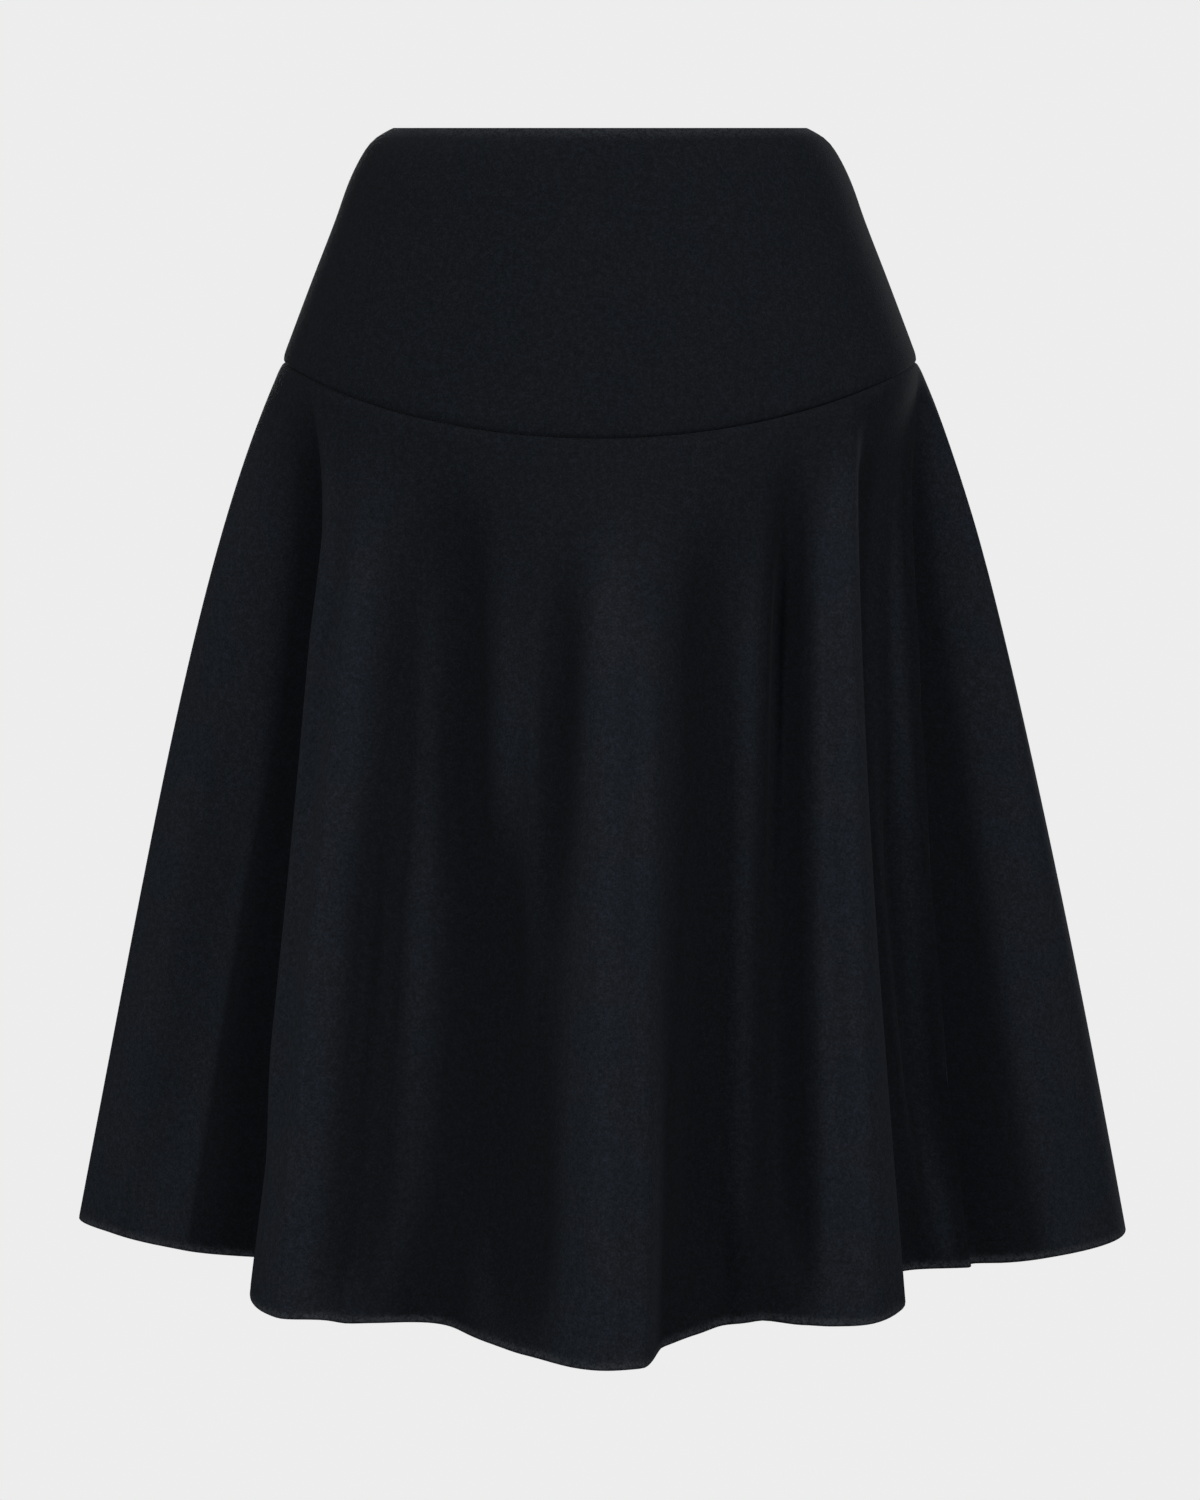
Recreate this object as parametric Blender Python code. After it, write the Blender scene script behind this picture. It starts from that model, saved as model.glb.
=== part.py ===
# Skater skirt, filled out as if worn: a fitted hip yoke over a flared skirt in deep soft flutes,
# with a concealed zip at the centre back.
# Metres, +Z up. The origin is the centre of the waist's top edge. -Y is the front and +X the wearer's left.

import math
from bisect import bisect_right
from collections import namedtuple

import bmesh
import bpy
import numpy as np
from mathutils import Matrix, Vector

MM = 0.001

# Cloth: a thick felted wool, and the space left between two pieces at a seam
CLOTH = 2.0 * MM
SEAM_GAP = 0.3 * MM

# Hip yoke: level sections from the waist edge down, an ellipse each, deeper behind than in front
Section = namedtuple("Section", "height half_width front_depth back_depth")
YOKE_SECTIONS = (
    Section(height=0.0, half_width=114.8, front_depth=86.0, back_depth=84.0),
    Section(height=-3.0, half_width=120.6, front_depth=90.4, back_depth=88.8),
    Section(height=-7.0, half_width=126.7, front_depth=94.4, back_depth=93.4),
    Section(height=-13.0, half_width=131.7, front_depth=97.6, back_depth=97.4),
    Section(height=-29.0, half_width=140.2, front_depth=102.0, back_depth=103.4),
    Section(height=-52.0, half_width=148.8, front_depth=106.4, back_depth=110.0),
    Section(height=-85.0, half_width=162.0, front_depth=112.6, back_depth=119.0),
    Section(height=-130.0, half_width=179.5, front_depth=120.6, back_depth=129.6),
    Section(height=-170.0, half_width=194.6, front_depth=127.6, back_depth=137.6),
)

# Seam between yoke and flare: highest at the sides, dipping to the centre front and centre back
SEAM_SIDE_HEIGHT = -130.5 * MM
SEAM_FRONT_DIP = 33.5 * MM
SEAM_BACK_DIP = 31.0 * MM
SEAM_CURVE_POWER = 2.2

# Hem: level, and as deep in and out as its flutes, a row each. A bearing is in degrees from the centre
# front towards the wearer's left, and a reach is the distance from the upright centre line. Going round,
# a flute rises from its foot in the valley, over its shoulder to its crest, and falls past its edge.
# Seam holds the bearings on the seam's ellipse from which its foot, shoulder and crest run down.
HEM_HEIGHT = -632.0 * MM
Flute = namedtuple("Flute", "name seam foot shoulder crest edge fall")
FLUTES = (
    Flute("right side", (-115, -104, -90.5), (-108, 213), (-100, 257), (-91, 306), (-84, 283), (-75, 245)),
    Flute("front right", (-61.5, -59.5, -42.5), (-64, 192), (-56, 232), (-43, 258), (-35, 243), (-31, 230)),
    Flute("front centre", (-24.8, -8, 2), (-24.5, 216), (-9, 262), (0.5, 280), (4.6, 277), (8, 243)),
    Flute("front left", (31.5, 35.5, 46.5), (23.5, 213), (28, 232), (36.5, 248), (43, 240), (49, 221)),
    Flute("left side", (54, 81, 89.3), (57.5, 199), (68.5, 247), (86, 306), (94, 294), (103, 246)),
    Flute("back left outer", (116, 125, 135), (112, 212), (122, 250), (131, 266), (138, 255), (143, 232)),
    Flute("back left inner", (151, 157, 167), (150, 213), (159, 256), (167, 274), (174, 263), (179, 237)),
    Flute("back right inner", (184, 194, 204), (187, 221), (197, 262), (206, 277), (212, 264), (216, 234)),
    Flute("back right outer", (217, 222, 230), (222, 209), (230, 246), (238, 260), (243, 247), (247, 226)),
)

# The same hem without its folds, an oval. Folds stand out from it: start is how far below the seam they
# stay soft, at the sides and at the front and back, and growth how much faster they deepen there than
# near the hem. Crisp is the power of the share by which a round fold takes on the hem's sharper profile.
OPEN_HALF_WIDTH = 273.0 * MM
OPEN_FRONT_DEPTH = 236.0 * MM
OPEN_BACK_DEPTH = 238.0 * MM
FOLD_START_SIDE = 0.01
FOLD_START_FRONT = 0.1
FOLD_GROWTH = 3.8
FOLD_CRISP = 1.2

# Shallow ripples between the flutes. Start and stop are bearings on the seam's ellipse where a ripple's
# line would meet the seam from its top and from its bottom end, width is in the same degrees, rise is
# out of the cloth in millimetres, and top and bottom are how far down the flare it begins and ends.
Ripple = namedtuple("Ripple", "start stop width rise top bottom")
RIPPLES = (
    Ripple(start=-50.5, stop=-50.5, width=5.0, rise=7.0, top=0.05, bottom=0.8),
    Ripple(start=-40.5, stop=-40.0, width=4.5, rise=4.5, top=0.06, bottom=0.95),
    Ripple(start=-34.6, stop=-33.0, width=5.5, rise=-11.0, top=0.12, bottom=0.95),
    Ripple(start=-29.0, stop=-26.0, width=4.0, rise=3.5, top=0.08, bottom=0.95),
    Ripple(start=-22.5, stop=-17.0, width=4.5, rise=-5.5, top=0.04, bottom=0.9),
    Ripple(start=-17.0, stop=-12.0, width=4.0, rise=2.5, top=0.04, bottom=0.5),
    Ripple(start=-12.5, stop=-11.5, width=5.0, rise=-5.0, top=0.3, bottom=0.95),
    Ripple(start=-4.7, stop=-5.5, width=5.0, rise=-11.0, top=0.08, bottom=0.95),
    Ripple(start=2.0, stop=2.0, width=4.5, rise=5.5, top=0.04, bottom=0.95),
    Ripple(start=16.5, stop=18.0, width=9.0, rise=-15.0, top=0.06, bottom=0.95),
    Ripple(start=26.5, stop=28.5, width=4.0, rise=4.0, top=0.15, bottom=1.0),
    Ripple(start=33.3, stop=33.8, width=4.0, rise=-11.0, top=0.02, bottom=0.95),
    Ripple(start=44.5, stop=45.0, width=4.0, rise=3.5, top=0.06, bottom=0.95),
    Ripple(start=82.0, stop=66.0, width=7.0, rise=4.0, top=0.08, bottom=0.7),
    Ripple(start=86.0, stop=78.5, width=5.0, rise=-26.0, top=0.02, bottom=1.0),
)
RIPPLE_FADE_IN = 0.25
RIPPLE_FADE_OUT = 0.2

# Mesh fineness: columns across a front panel, twice those of a back half, and rows from top to bottom
YOKE_COLUMNS = 32
YOKE_ROWS = 9
FLARE_COLUMNS = 96
FLARE_ROWS = 12
TRACE_STEPS = 720
NORMAL_STEP = 0.002

# Way around the skirt: 0 to 1 is the front, from the wearer's right side seam to the left one, and
# 1 to 2 the back, each an even share of that half's length. The centre back is halfway along it.
RIGHT_SIDE = 0.0
LEFT_SIDE = 1.0
CENTRE_BACK = 1.5
FULL_TURN = 2.0
HALF_WAIST = 320.0 * MM
HALF_SEAM = 490.0 * MM

# Concealed zip: tapes behind the centre back seam
TAPE_TOP = -6.0 * MM
TAPE_BOTTOM = -198.0 * MM
TAPE_INNER_EDGE = 1.5 * MM
TAPE_OUTER_EDGE = 13.0 * MM
TAPE_THICK = 0.8 * MM
TAPE_CLEARANCE = 0.6 * MM
TAPE_ROWS = 22

# Zip slider: a front plate and arch outside the seam, a neck through it, and a body behind the tapes
SLIDER_HEIGHT = -13.0 * MM
PLATE_SIZE = Vector((5.0, 8.4, 1.0)) * MM
ARCH_WIDE = 1.4 * MM
ARCH_INNER_RADIUS = 1.9 * MM
ARCH_THICK = 1.1 * MM
NECK_WIDE = 1.6 * MM
NECK_LONG = 4.6 * MM
BODY_SIZE = Vector((5.6, 8.8, 2.4)) * MM
BODY_CLEARANCE = 1.1 * MM
SLIDER_BEVEL = 0.4 * MM

# Seam edges part around the slider's neck
PARTING = 1.6 * MM
PARTING_HALF_HEIGHT = 14.0 * MM
PARTING_HALF_WIDTH = 9.0 * MM

# Pull tab: a round bar under the arch, two arms past it and a drop-shaped plate that hangs below
PULL_BAR_RADIUS = 0.6 * MM
PULL_BAR_LENGTH = 4.2 * MM
PULL_BAR_RISE = 0.95 * MM
PULL_ARM_WIDE = 1.0 * MM
PULL_ARM_THICK = 0.9 * MM
PULL_ARM_OFFSET = 1.6 * MM
PULL_ARM_OVERLAP = 0.8 * MM
PULL_PLATE_START = 3.7 * MM
PULL_LENGTH = 21.0 * MM
PULL_END_RADIUS = 3.1 * MM
PULL_TOP_HALF_WIDTH = 2.1 * MM
PULL_THICK = 1.2 * MM
PULL_BEVEL = 0.3 * MM


def clear_scene():
    for thing in list(bpy.data.objects):
        bpy.data.objects.remove(thing, do_unlink=True)


def material(name, colour, roughness, metallic=0.0):
    made = bpy.data.materials.new(name)
    made.use_nodes = True
    shader = made.node_tree.nodes["Principled BSDF"]
    shader.inputs["Base Color"].default_value = (*colour, 1.0)
    shader.inputs["Roughness"].default_value = roughness
    shader.inputs["Metallic"].default_value = metallic
    return made


def smooth_step(share):
    share = min(max(share, 0.0), 1.0)
    return share * share * (3.0 - 2.0 * share)


# Form of the skirt

class SmoothLine:
    """A smooth line through a table's values, which rises and falls only where the values do."""

    def __init__(self, places, values):
        self.places = places
        self.values = values
        spans = list(zip(places, places[1:], values, values[1:]))
        steps = [(after - before) / (far - near) for near, far, before, after in spans]
        middle = [2.0 * a * b / (a + b) if a * b > 0.0 else 0.0 for a, b in zip(steps, steps[1:])]
        self.slopes = [steps[0], *middle, steps[-1]]

    def at(self, place):
        place = min(max(place, self.places[0]), self.places[-1])
        row = min(bisect_right(self.places, place), len(self.places) - 1) - 1
        span = self.places[row + 1] - self.places[row]
        share = (place - self.places[row]) / span
        start_pull = share * (1.0 - share) ** 2 * span * self.slopes[row]
        end_pull = share ** 2 * (share - 1.0) * span * self.slopes[row + 1]
        eased = smooth_step(share)
        return self.values[row] * (1.0 - eased) + self.values[row + 1] * eased + start_pull + end_pull


def section_line(column):
    rows = YOKE_SECTIONS[::-1]
    return SmoothLine([row.height for row in rows], [getattr(row, column) for row in rows])


SECTION_LINES = {column: section_line(column) for column in ("half_width", "front_depth", "back_depth")}


def section_size(column, height):
    """One size of the yoke's section at a height in metres."""
    return SECTION_LINES[column].at(height / MM) * MM


def section_point(height, bearing):
    """Point of the level section at a height, bearing in radians around its ellipse."""
    depth_column = "front_depth" if math.cos(bearing) > 0.0 else "back_depth"
    across = section_size("half_width", height) * math.sin(bearing)
    outward = section_size(depth_column, height) * math.cos(bearing)
    return Vector((across, -outward, height))


def seam_height(bearing):
    facing = math.cos(bearing)
    dip = SEAM_FRONT_DIP if facing > 0.0 else SEAM_BACK_DIP
    return SEAM_SIDE_HEIGHT - dip * abs(facing) ** SEAM_CURVE_POWER


def seam_point(bearing):
    return section_point(seam_height(bearing), bearing)


def hem_lines():
    """Lines over a full turn: the hem's reach, that of rounder folds, and the bearing below the seam's."""
    reaches = []
    rounded = []
    bearings = []
    for turn in (-360.0, 0.0, 360.0):
        for flute in FLUTES:
            for corner in (flute.foot, flute.shoulder, flute.crest, flute.edge, flute.fall):
                reaches.append((corner[0] + turn, corner[1]))
            for corner in (flute.foot, flute.crest):
                rounded.append((corner[0] + turn, corner[1]))
            for above, below in zip(flute.seam, (flute.foot, flute.shoulder, flute.crest)):
                bearings.append((above + turn, below[0] + turn))
    return SmoothLine(*zip(*reaches)), SmoothLine(*zip(*rounded)), SmoothLine(*zip(*bearings))


HEM_REACH, ROUND_REACH, HEM_BEARING = hem_lines()


def hem_bearing(seam_bearing):
    """Bearing at the hem, straight down the cloth from a bearing on the seam, both in radians."""
    return math.radians(HEM_BEARING.at(math.degrees(seam_bearing)))


def hem_point(seam_bearing):
    bearing = hem_bearing(seam_bearing)
    reach = HEM_REACH.at(math.degrees(bearing)) * MM
    return Vector((reach * math.sin(bearing), -reach * math.cos(bearing), HEM_HEIGHT))


def lengths_along(curve, places):
    """Length travelled along a curve at each place, from 0."""
    points = np.array([curve(place) for place in places])
    steps = np.linalg.norm(np.diff(points, axis=0), axis=1)
    return np.concatenate(([0.0], np.cumsum(steps)))


def seam_shares(start, stop):
    """Bearings along the seam, and the share of its length reached at each of them."""
    bearings = np.linspace(math.radians(start), math.radians(stop), TRACE_STEPS + 1)
    travelled = lengths_along(seam_point, bearings)
    return travelled / travelled[-1], bearings


SEAM_SHARES = (seam_shares(-90.0, 90.0), seam_shares(90.0, 270.0))


def seam_bearing(way):
    """Bearing on the seam's ellipse at a way around the skirt."""
    way = way % FULL_TURN
    half = 0 if way < LEFT_SIDE else 1
    shares, bearings = SEAM_SHARES[half]
    return float(np.interp(way - half, shares, bearings))


def even_ways(start, stop, columns):
    """Ways around the flare at even steps, counting its length at the seam and at the hem alike."""
    ways = np.linspace(start, stop, TRACE_STEPS + 1)
    travelled = lengths_along(lambda way: flare_point(way, 0.0), ways)
    travelled = travelled + lengths_along(lambda way: flare_point(way, 1.0), ways)
    return np.interp(np.linspace(0.0, travelled[-1], columns + 1), travelled, ways)


def yoke_point(way, down):
    """Point on the yoke's outer face, down from 0 at the waist edge to 1 at the seam."""
    bearing = seam_bearing(way)
    return section_point(seam_height(bearing) * down, bearing)


def open_reach(bearing):
    """Distance from the centre line to the oval that the hem would be without folds."""
    depth = OPEN_FRONT_DEPTH if math.cos(bearing) > 0.0 else OPEN_BACK_DEPTH
    return 1.0 / math.hypot(math.sin(bearing) / OPEN_HALF_WIDTH, math.cos(bearing) / depth)


def ripple_rise(bearing, down):
    """How far the ripples lift the cloth, each a smooth bump across that fades in and out down the skirt."""
    degrees = (math.degrees(bearing) + 90.0) % 360.0 - 90.0
    total = 0.0
    for ripple in RIPPLES:
        middle = ripple.start + (ripple.stop - ripple.start) * down
        off_side = abs(degrees - middle) / ripple.width
        if off_side < 1.0:
            fade_in = smooth_step((down - ripple.top) / RIPPLE_FADE_IN)
            fade_out = smooth_step((ripple.bottom - down) / RIPPLE_FADE_OUT + 0.5)
            bump = math.cos(off_side * math.pi / 2.0) ** 2
            total += ripple.rise * MM * fade_in * fade_out * bump
    return total


def flare_point(way, down):
    """Point on the flare's outer face: a line from seam to open hem, moved out or in by the folds."""
    above = seam_bearing(way)
    below = hem_bearing(above)
    outward = Vector((math.sin(below), -math.cos(below), 0.0))
    oval = open_reach(below)
    bottom = outward * oval + Vector((0.0, 0.0, HEM_HEIGHT))
    start = FOLD_START_SIDE + (FOLD_START_FRONT - FOLD_START_SIDE) * abs(math.cos(above))
    eased = down ** 2 * (1.0 + start) / (down + start)
    grown = (1.0 + FOLD_GROWTH) * eased / (1.0 + FOLD_GROWTH * eased)
    crisp = HEM_REACH.at(math.degrees(below)) * MM
    rounded = ROUND_REACH.at(math.degrees(below)) * MM
    fold = rounded + (crisp - rounded) * down ** FOLD_CRISP - oval
    return seam_point(above).lerp(bottom, down) + outward * (fold * grown + ripple_rise(above, down))


def facing(surface, way, down):
    """Unit vector straight out of a surface."""
    above = max(down - NORMAL_STEP, 0.0)
    below = min(down + NORMAL_STEP, 1.0)
    along = surface(way + NORMAL_STEP, down) - surface(way - NORMAL_STEP, down)
    upward = surface(way, above) - surface(way, below)
    return along.cross(upward).normalized()


def seam_facing(way):
    """One direction out of the cloth for both pieces at the seam, so that they stay parallel there."""
    return (facing(yoke_point, way, 1.0) + facing(flare_point, way, 0.0)).normalized()


def yoke_facing(way, down):
    return seam_facing(way) if down == 1.0 else facing(yoke_point, way, down)


def flare_facing(way, down):
    return seam_facing(way) if down == 0.0 else facing(flare_point, way, down)


def parted(point):
    """Moves a point near the centre back aside, where the seam opens around the zip slider."""
    off_level = abs(point.z - SLIDER_HEIGHT) / PARTING_HALF_HEIGHT
    off_side = abs(point.x) / PARTING_HALF_WIDTH
    if point.y < 0.0 or off_level > 1.0 or off_side > 1.0:
        return point
    aside = PARTING * math.cos(off_level * math.pi / 2.0) ** 2 * (1.0 - off_side)
    return point + Vector((math.copysign(aside, point.x), 0.0, 0.0))


# Cloth walls

def wall(name, outer_face, inner_face, columns, rows, finish):
    """A closed sheet of cloth. Both faces are functions of across and down, each from 0 to 1."""
    sheet = bmesh.new()
    laid = bmesh.ops.create_grid(sheet, x_segments=columns, y_segments=rows, size=0.5)
    raised = bmesh.ops.extrude_face_region(sheet, geom=sheet.faces[:])
    outer_corners = [item for item in raised["geom"] if isinstance(item, bmesh.types.BMVert)]
    for corner in laid["verts"]:
        corner.co = inner_face(corner.co.x + 0.5, 0.5 - corner.co.y)
    for corner in outer_corners:
        corner.co = outer_face(corner.co.x + 0.5, 0.5 - corner.co.y)
    mesh = bpy.data.meshes.new(name)
    sheet.to_mesh(mesh)
    sheet.free()
    mesh.materials.append(finish)
    mesh.shade_smooth()
    mesh.set_sharp_from_angle(angle=math.radians(50.0))
    piece = bpy.data.objects.new(name, mesh)
    bpy.context.collection.objects.link(piece)
    return piece


def yoke(name, start, stop, finish):
    """Part of the yoke, between two ways around the skirt. Its rows crowd towards the rolled waist edge."""
    trim = SEAM_GAP / 2.0 / HALF_WAIST
    lift = Vector((0.0, 0.0, SEAM_GAP / 2.0))

    def place(across, down, depth):
        way = start + trim + (stop - start - 2.0 * trim) * across
        level = down ** 2
        point = yoke_point(way, level) - yoke_facing(way, level) * depth
        return parted(point) + lift * level

    columns = round(YOKE_COLUMNS * (stop - start))
    return wall(
        name,
        lambda across, down: place(across, down, 0.0),
        lambda across, down: place(across, down, CLOTH),
        columns,
        YOKE_ROWS,
        finish,
    )


def flare(name, start, stop, finish):
    """Part of the flared skirt, between two ways around it."""
    trim = SEAM_GAP / 2.0 / HALF_SEAM
    drop = Vector((0.0, 0.0, -SEAM_GAP / 2.0))

    columns = round(FLARE_COLUMNS * (stop - start))
    ways = even_ways(start + trim, stop - trim, columns)

    def place(across, down, depth):
        way = ways[round(across * columns)]
        return flare_point(way, down) - flare_facing(way, down) * depth + drop * (1.0 - down)

    return wall(
        name,
        lambda across, down: place(across, down, 0.0),
        lambda across, down: place(across, down, CLOTH),
        columns,
        FLARE_ROWS,
        finish,
    )


# Zip

def back_surface(height):
    """Which surface holds the centre back at a height, and how far down it that is."""
    seam = seam_height(math.pi)
    if height > seam:
        return yoke_point, height / seam
    return flare_point, (seam - height) / (seam - HEM_HEIGHT)


def behind_seam(aside, height, depth):
    """Point beside the centre back seam, under the cloth by a depth from its outer face."""
    surface, down = back_surface(height)
    per_way = (surface(CENTRE_BACK + NORMAL_STEP, down) - surface(CENTRE_BACK, down)).length / NORMAL_STEP
    way = CENTRE_BACK + aside / per_way
    return surface(way, down) - facing(surface, way, down) * depth


def zip_tape(name, first_edge, last_edge, finish):
    """One tape of the zip, from edge to edge beside the seam, following the cloth's inner face."""

    def place(across, down, depth):
        aside = first_edge + (last_edge - first_edge) * across
        height = TAPE_TOP + (TAPE_BOTTOM - TAPE_TOP) * down
        return behind_seam(aside, height, depth)

    near = CLOTH + TAPE_CLEARANCE
    return wall(
        name,
        lambda across, down: place(across, down, near),
        lambda across, down: place(across, down, near + TAPE_THICK),
        2,
        TAPE_ROWS,
        finish,
    )


def slider_frame():
    """Frame on the cloth under the slider: X across, Y up the cloth, Z straight out of it."""
    surface, down = back_surface(SLIDER_HEIGHT)
    seat = surface(CENTRE_BACK, down)
    outward = facing(surface, CENTRE_BACK, down)
    across = Vector((-1.0, 0.0, 0.0))
    upward = outward.cross(across).normalized()
    turned = Matrix((across, upward, outward)).transposed().to_4x4()
    return Matrix.Translation(seat) @ turned


def add_mesh(name, shape, finish, frame):
    mesh = bpy.data.meshes.new(name)
    bmesh.ops.recalc_face_normals(shape, faces=shape.faces[:])
    shape.to_mesh(mesh)
    shape.free()
    mesh.materials.append(finish)
    mesh.shade_smooth()
    mesh.set_sharp_from_angle(angle=math.radians(30.0))
    piece = bpy.data.objects.new(name, mesh)
    piece.matrix_world = frame
    bpy.context.collection.objects.link(piece)
    return piece


def join_to(base, added):
    """Fuses a helper shape into a piece and keeps the helper out of the view."""
    union = base.modifiers.new(f"with_{added.name}", "BOOLEAN")
    union.operation = "UNION"
    union.object = added
    added.hide_render = True
    added.display_type = "WIRE"


def block(size, centre, bevel):
    shape = bmesh.new()
    place = Matrix.Translation(centre) @ Matrix.Diagonal((*size, 1.0))
    bmesh.ops.create_cube(shape, size=1.0, matrix=place)
    if bevel:
        bmesh.ops.bevel(shape, geom=shape.edges[:], offset=bevel, segments=2, affect="EDGES", profile=0.5)
    return shape


def arch_shape(base_rise):
    """Half a ring that stands on the front plate, spun about the across axis."""
    shape = bmesh.new()
    mid_radius = ARCH_INNER_RADIUS + ARCH_THICK / 2.0
    flat = Matrix.Diagonal((ARCH_WIDE, ARCH_THICK, 1.0, 1.0))
    place = Matrix.Translation((0.0, mid_radius, base_rise)) @ flat
    laid = bmesh.ops.create_grid(shape, x_segments=1, y_segments=1, size=0.5, matrix=place)
    spun = bmesh.ops.spin(
        shape,
        geom=shape.faces[:],
        cent=(0.0, 0.0, base_rise),
        axis=(1.0, 0.0, 0.0),
        angle=math.pi,
        steps=12,
    )
    last_foot = [item for item in spun["geom_last"] if isinstance(item, bmesh.types.BMVert)]
    for corner in laid["verts"] + last_foot:
        corner.co.z = base_rise - PLATE_SIZE.z / 2.0
    return shape


def zip_slider(frame, finish):
    plate_middle = SEAM_GAP + PLATE_SIZE.z / 2.0
    plate_top = SEAM_GAP + PLATE_SIZE.z
    body_front = -(CLOTH + TAPE_CLEARANCE + TAPE_THICK + BODY_CLEARANCE)
    body_middle = body_front - BODY_SIZE.z / 2.0
    neck_middle = (plate_middle + body_middle) / 2.0
    neck_size = Vector((NECK_WIDE, NECK_LONG, plate_middle - body_middle))
    plate_shape = block(PLATE_SIZE, Vector((0.0, 0.0, plate_middle)), SLIDER_BEVEL)
    body_shape = block(BODY_SIZE, Vector((0.0, 0.0, body_middle)), SLIDER_BEVEL)
    neck_shape = block(neck_size, Vector((0.0, 0.0, neck_middle)), 0.0)
    plate = add_mesh("zip_slider", plate_shape, finish, frame)
    body = add_mesh("slider_body", body_shape, finish, frame)
    neck = add_mesh("slider_neck", neck_shape, finish, frame)
    arch = add_mesh("slider_arch", arch_shape(plate_top), finish, frame)
    for added in (neck, body, arch):
        join_to(plate, added)
    return plate


def drop_outline():
    """Corners around the pull's plate: tapered arms' width above, a round end below."""
    tip_middle = PULL_LENGTH - PULL_END_RADIUS
    side = [(PULL_TOP_HALF_WIDTH, PULL_PLATE_START)]
    turns = 8
    for step in range(turns + 1):
        angle = math.pi / 2.0 * step / turns
        side.append((PULL_END_RADIUS * math.cos(angle), tip_middle + PULL_END_RADIUS * math.sin(angle)))
    other = [(-across, along) for across, along in reversed(side[:-1])]
    return [(across, -along) for across, along in side + other]


def pull_plate():
    shape = bmesh.new()
    corners = [shape.verts.new((across, along, -PULL_THICK / 2.0)) for across, along in drop_outline()]
    shape.faces.new(corners)
    raised = bmesh.ops.extrude_face_region(shape, geom=shape.faces[:])
    tops = [item for item in raised["geom"] if isinstance(item, bmesh.types.BMVert)]
    bmesh.ops.translate(shape, verts=tops, vec=(0.0, 0.0, PULL_THICK))
    rims = [edge for edge in shape.edges if abs(edge.verts[0].co.z - edge.verts[1].co.z) < 1e-7]
    bmesh.ops.bevel(shape, geom=rims, offset=PULL_BEVEL, segments=1, affect="EDGES", profile=0.5)
    return shape


def pull_bar():
    shape = bmesh.new()
    turn = Matrix.Rotation(math.pi / 2.0, 4, "Y")
    bmesh.ops.create_cone(
        shape,
        cap_ends=True,
        segments=12,
        radius1=PULL_BAR_RADIUS,
        radius2=PULL_BAR_RADIUS,
        depth=PULL_BAR_LENGTH,
        matrix=turn,
    )
    return shape


def zip_pull(frame, finish):
    """The pull tab, with its own origin on the hinge line, along the middle of its round bar."""
    rise = SEAM_GAP + PLATE_SIZE.z + PULL_BAR_RISE
    hinge = frame @ Matrix.Translation((0.0, 0.0, rise))
    plate = add_mesh("zip_pull", pull_plate(), finish, hinge)
    joined = [add_mesh("pull_bar", pull_bar(), finish, hinge)]
    arm_length = PULL_PLATE_START + PULL_ARM_OVERLAP
    arm_size = Vector((PULL_ARM_WIDE, arm_length, PULL_ARM_THICK))
    for name, side in (("pull_arm_left", -1.0), ("pull_arm_right", 1.0)):
        centre = Vector((side * PULL_ARM_OFFSET, -arm_length / 2.0, 0.0))
        joined.append(add_mesh(name, block(arm_size, centre, 0.0), finish, hinge))
    for added in joined:
        join_to(plate, added)
    return plate


def build():
    clear_scene()
    wool = material("felted_wool", colour=(0.010, 0.013, 0.017), roughness=0.95)
    tape = material("zip_tape", colour=(0.008, 0.009, 0.012), roughness=0.85)
    metal = material("painted_zinc", colour=(0.012, 0.014, 0.018), roughness=0.35, metallic=0.6)
    yoke("front_yoke", RIGHT_SIDE, LEFT_SIDE, wool)
    yoke("back_yoke_left", LEFT_SIDE, CENTRE_BACK, wool)
    yoke("back_yoke_right", CENTRE_BACK, FULL_TURN, wool)
    flare("front_skirt", RIGHT_SIDE, LEFT_SIDE, wool)
    flare("back_skirt_left", LEFT_SIDE, CENTRE_BACK, wool)
    flare("back_skirt_right", CENTRE_BACK, FULL_TURN, wool)
    zip_tape("zip_tape_left", -TAPE_OUTER_EDGE, -TAPE_INNER_EDGE, tape)
    zip_tape("zip_tape_right", TAPE_INNER_EDGE, TAPE_OUTER_EDGE, tape)
    frame = slider_frame()
    zip_slider(frame, metal)
    zip_pull(frame, metal)


build()
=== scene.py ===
# Skater skirt in felted wool, filled out as if worn: the cloth, its seams and zip, and a pale studio.
# Metres, +Z up. The origin is the centre of the waist's top edge. -Y is the front and +X the wearer's left.

import math
from collections import namedtuple

import bmesh
import bpy
import numpy as np
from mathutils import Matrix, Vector


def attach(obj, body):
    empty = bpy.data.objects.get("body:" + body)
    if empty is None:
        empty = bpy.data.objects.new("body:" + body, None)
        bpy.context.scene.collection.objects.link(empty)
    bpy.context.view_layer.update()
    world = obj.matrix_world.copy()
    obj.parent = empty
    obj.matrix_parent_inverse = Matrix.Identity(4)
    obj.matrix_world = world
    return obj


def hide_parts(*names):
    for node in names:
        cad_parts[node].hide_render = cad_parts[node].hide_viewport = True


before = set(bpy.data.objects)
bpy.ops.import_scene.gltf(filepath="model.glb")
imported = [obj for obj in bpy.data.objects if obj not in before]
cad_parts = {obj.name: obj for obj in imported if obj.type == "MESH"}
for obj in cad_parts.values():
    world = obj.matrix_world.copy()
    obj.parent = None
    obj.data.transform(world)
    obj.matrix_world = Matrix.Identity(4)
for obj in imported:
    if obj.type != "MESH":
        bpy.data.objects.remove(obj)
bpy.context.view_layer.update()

MM = 0.001

# Camera, from the photograph's view: level with the waist, tilted down towards the middle of the skirt
CAMERA_PLACE = Vector((0.0, -2.2, 0.0))
CAMERA_TILT = math.radians(9.1246)
CAMERA_LENS = 93.09
CAMERA_SENSOR = 36.0

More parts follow.
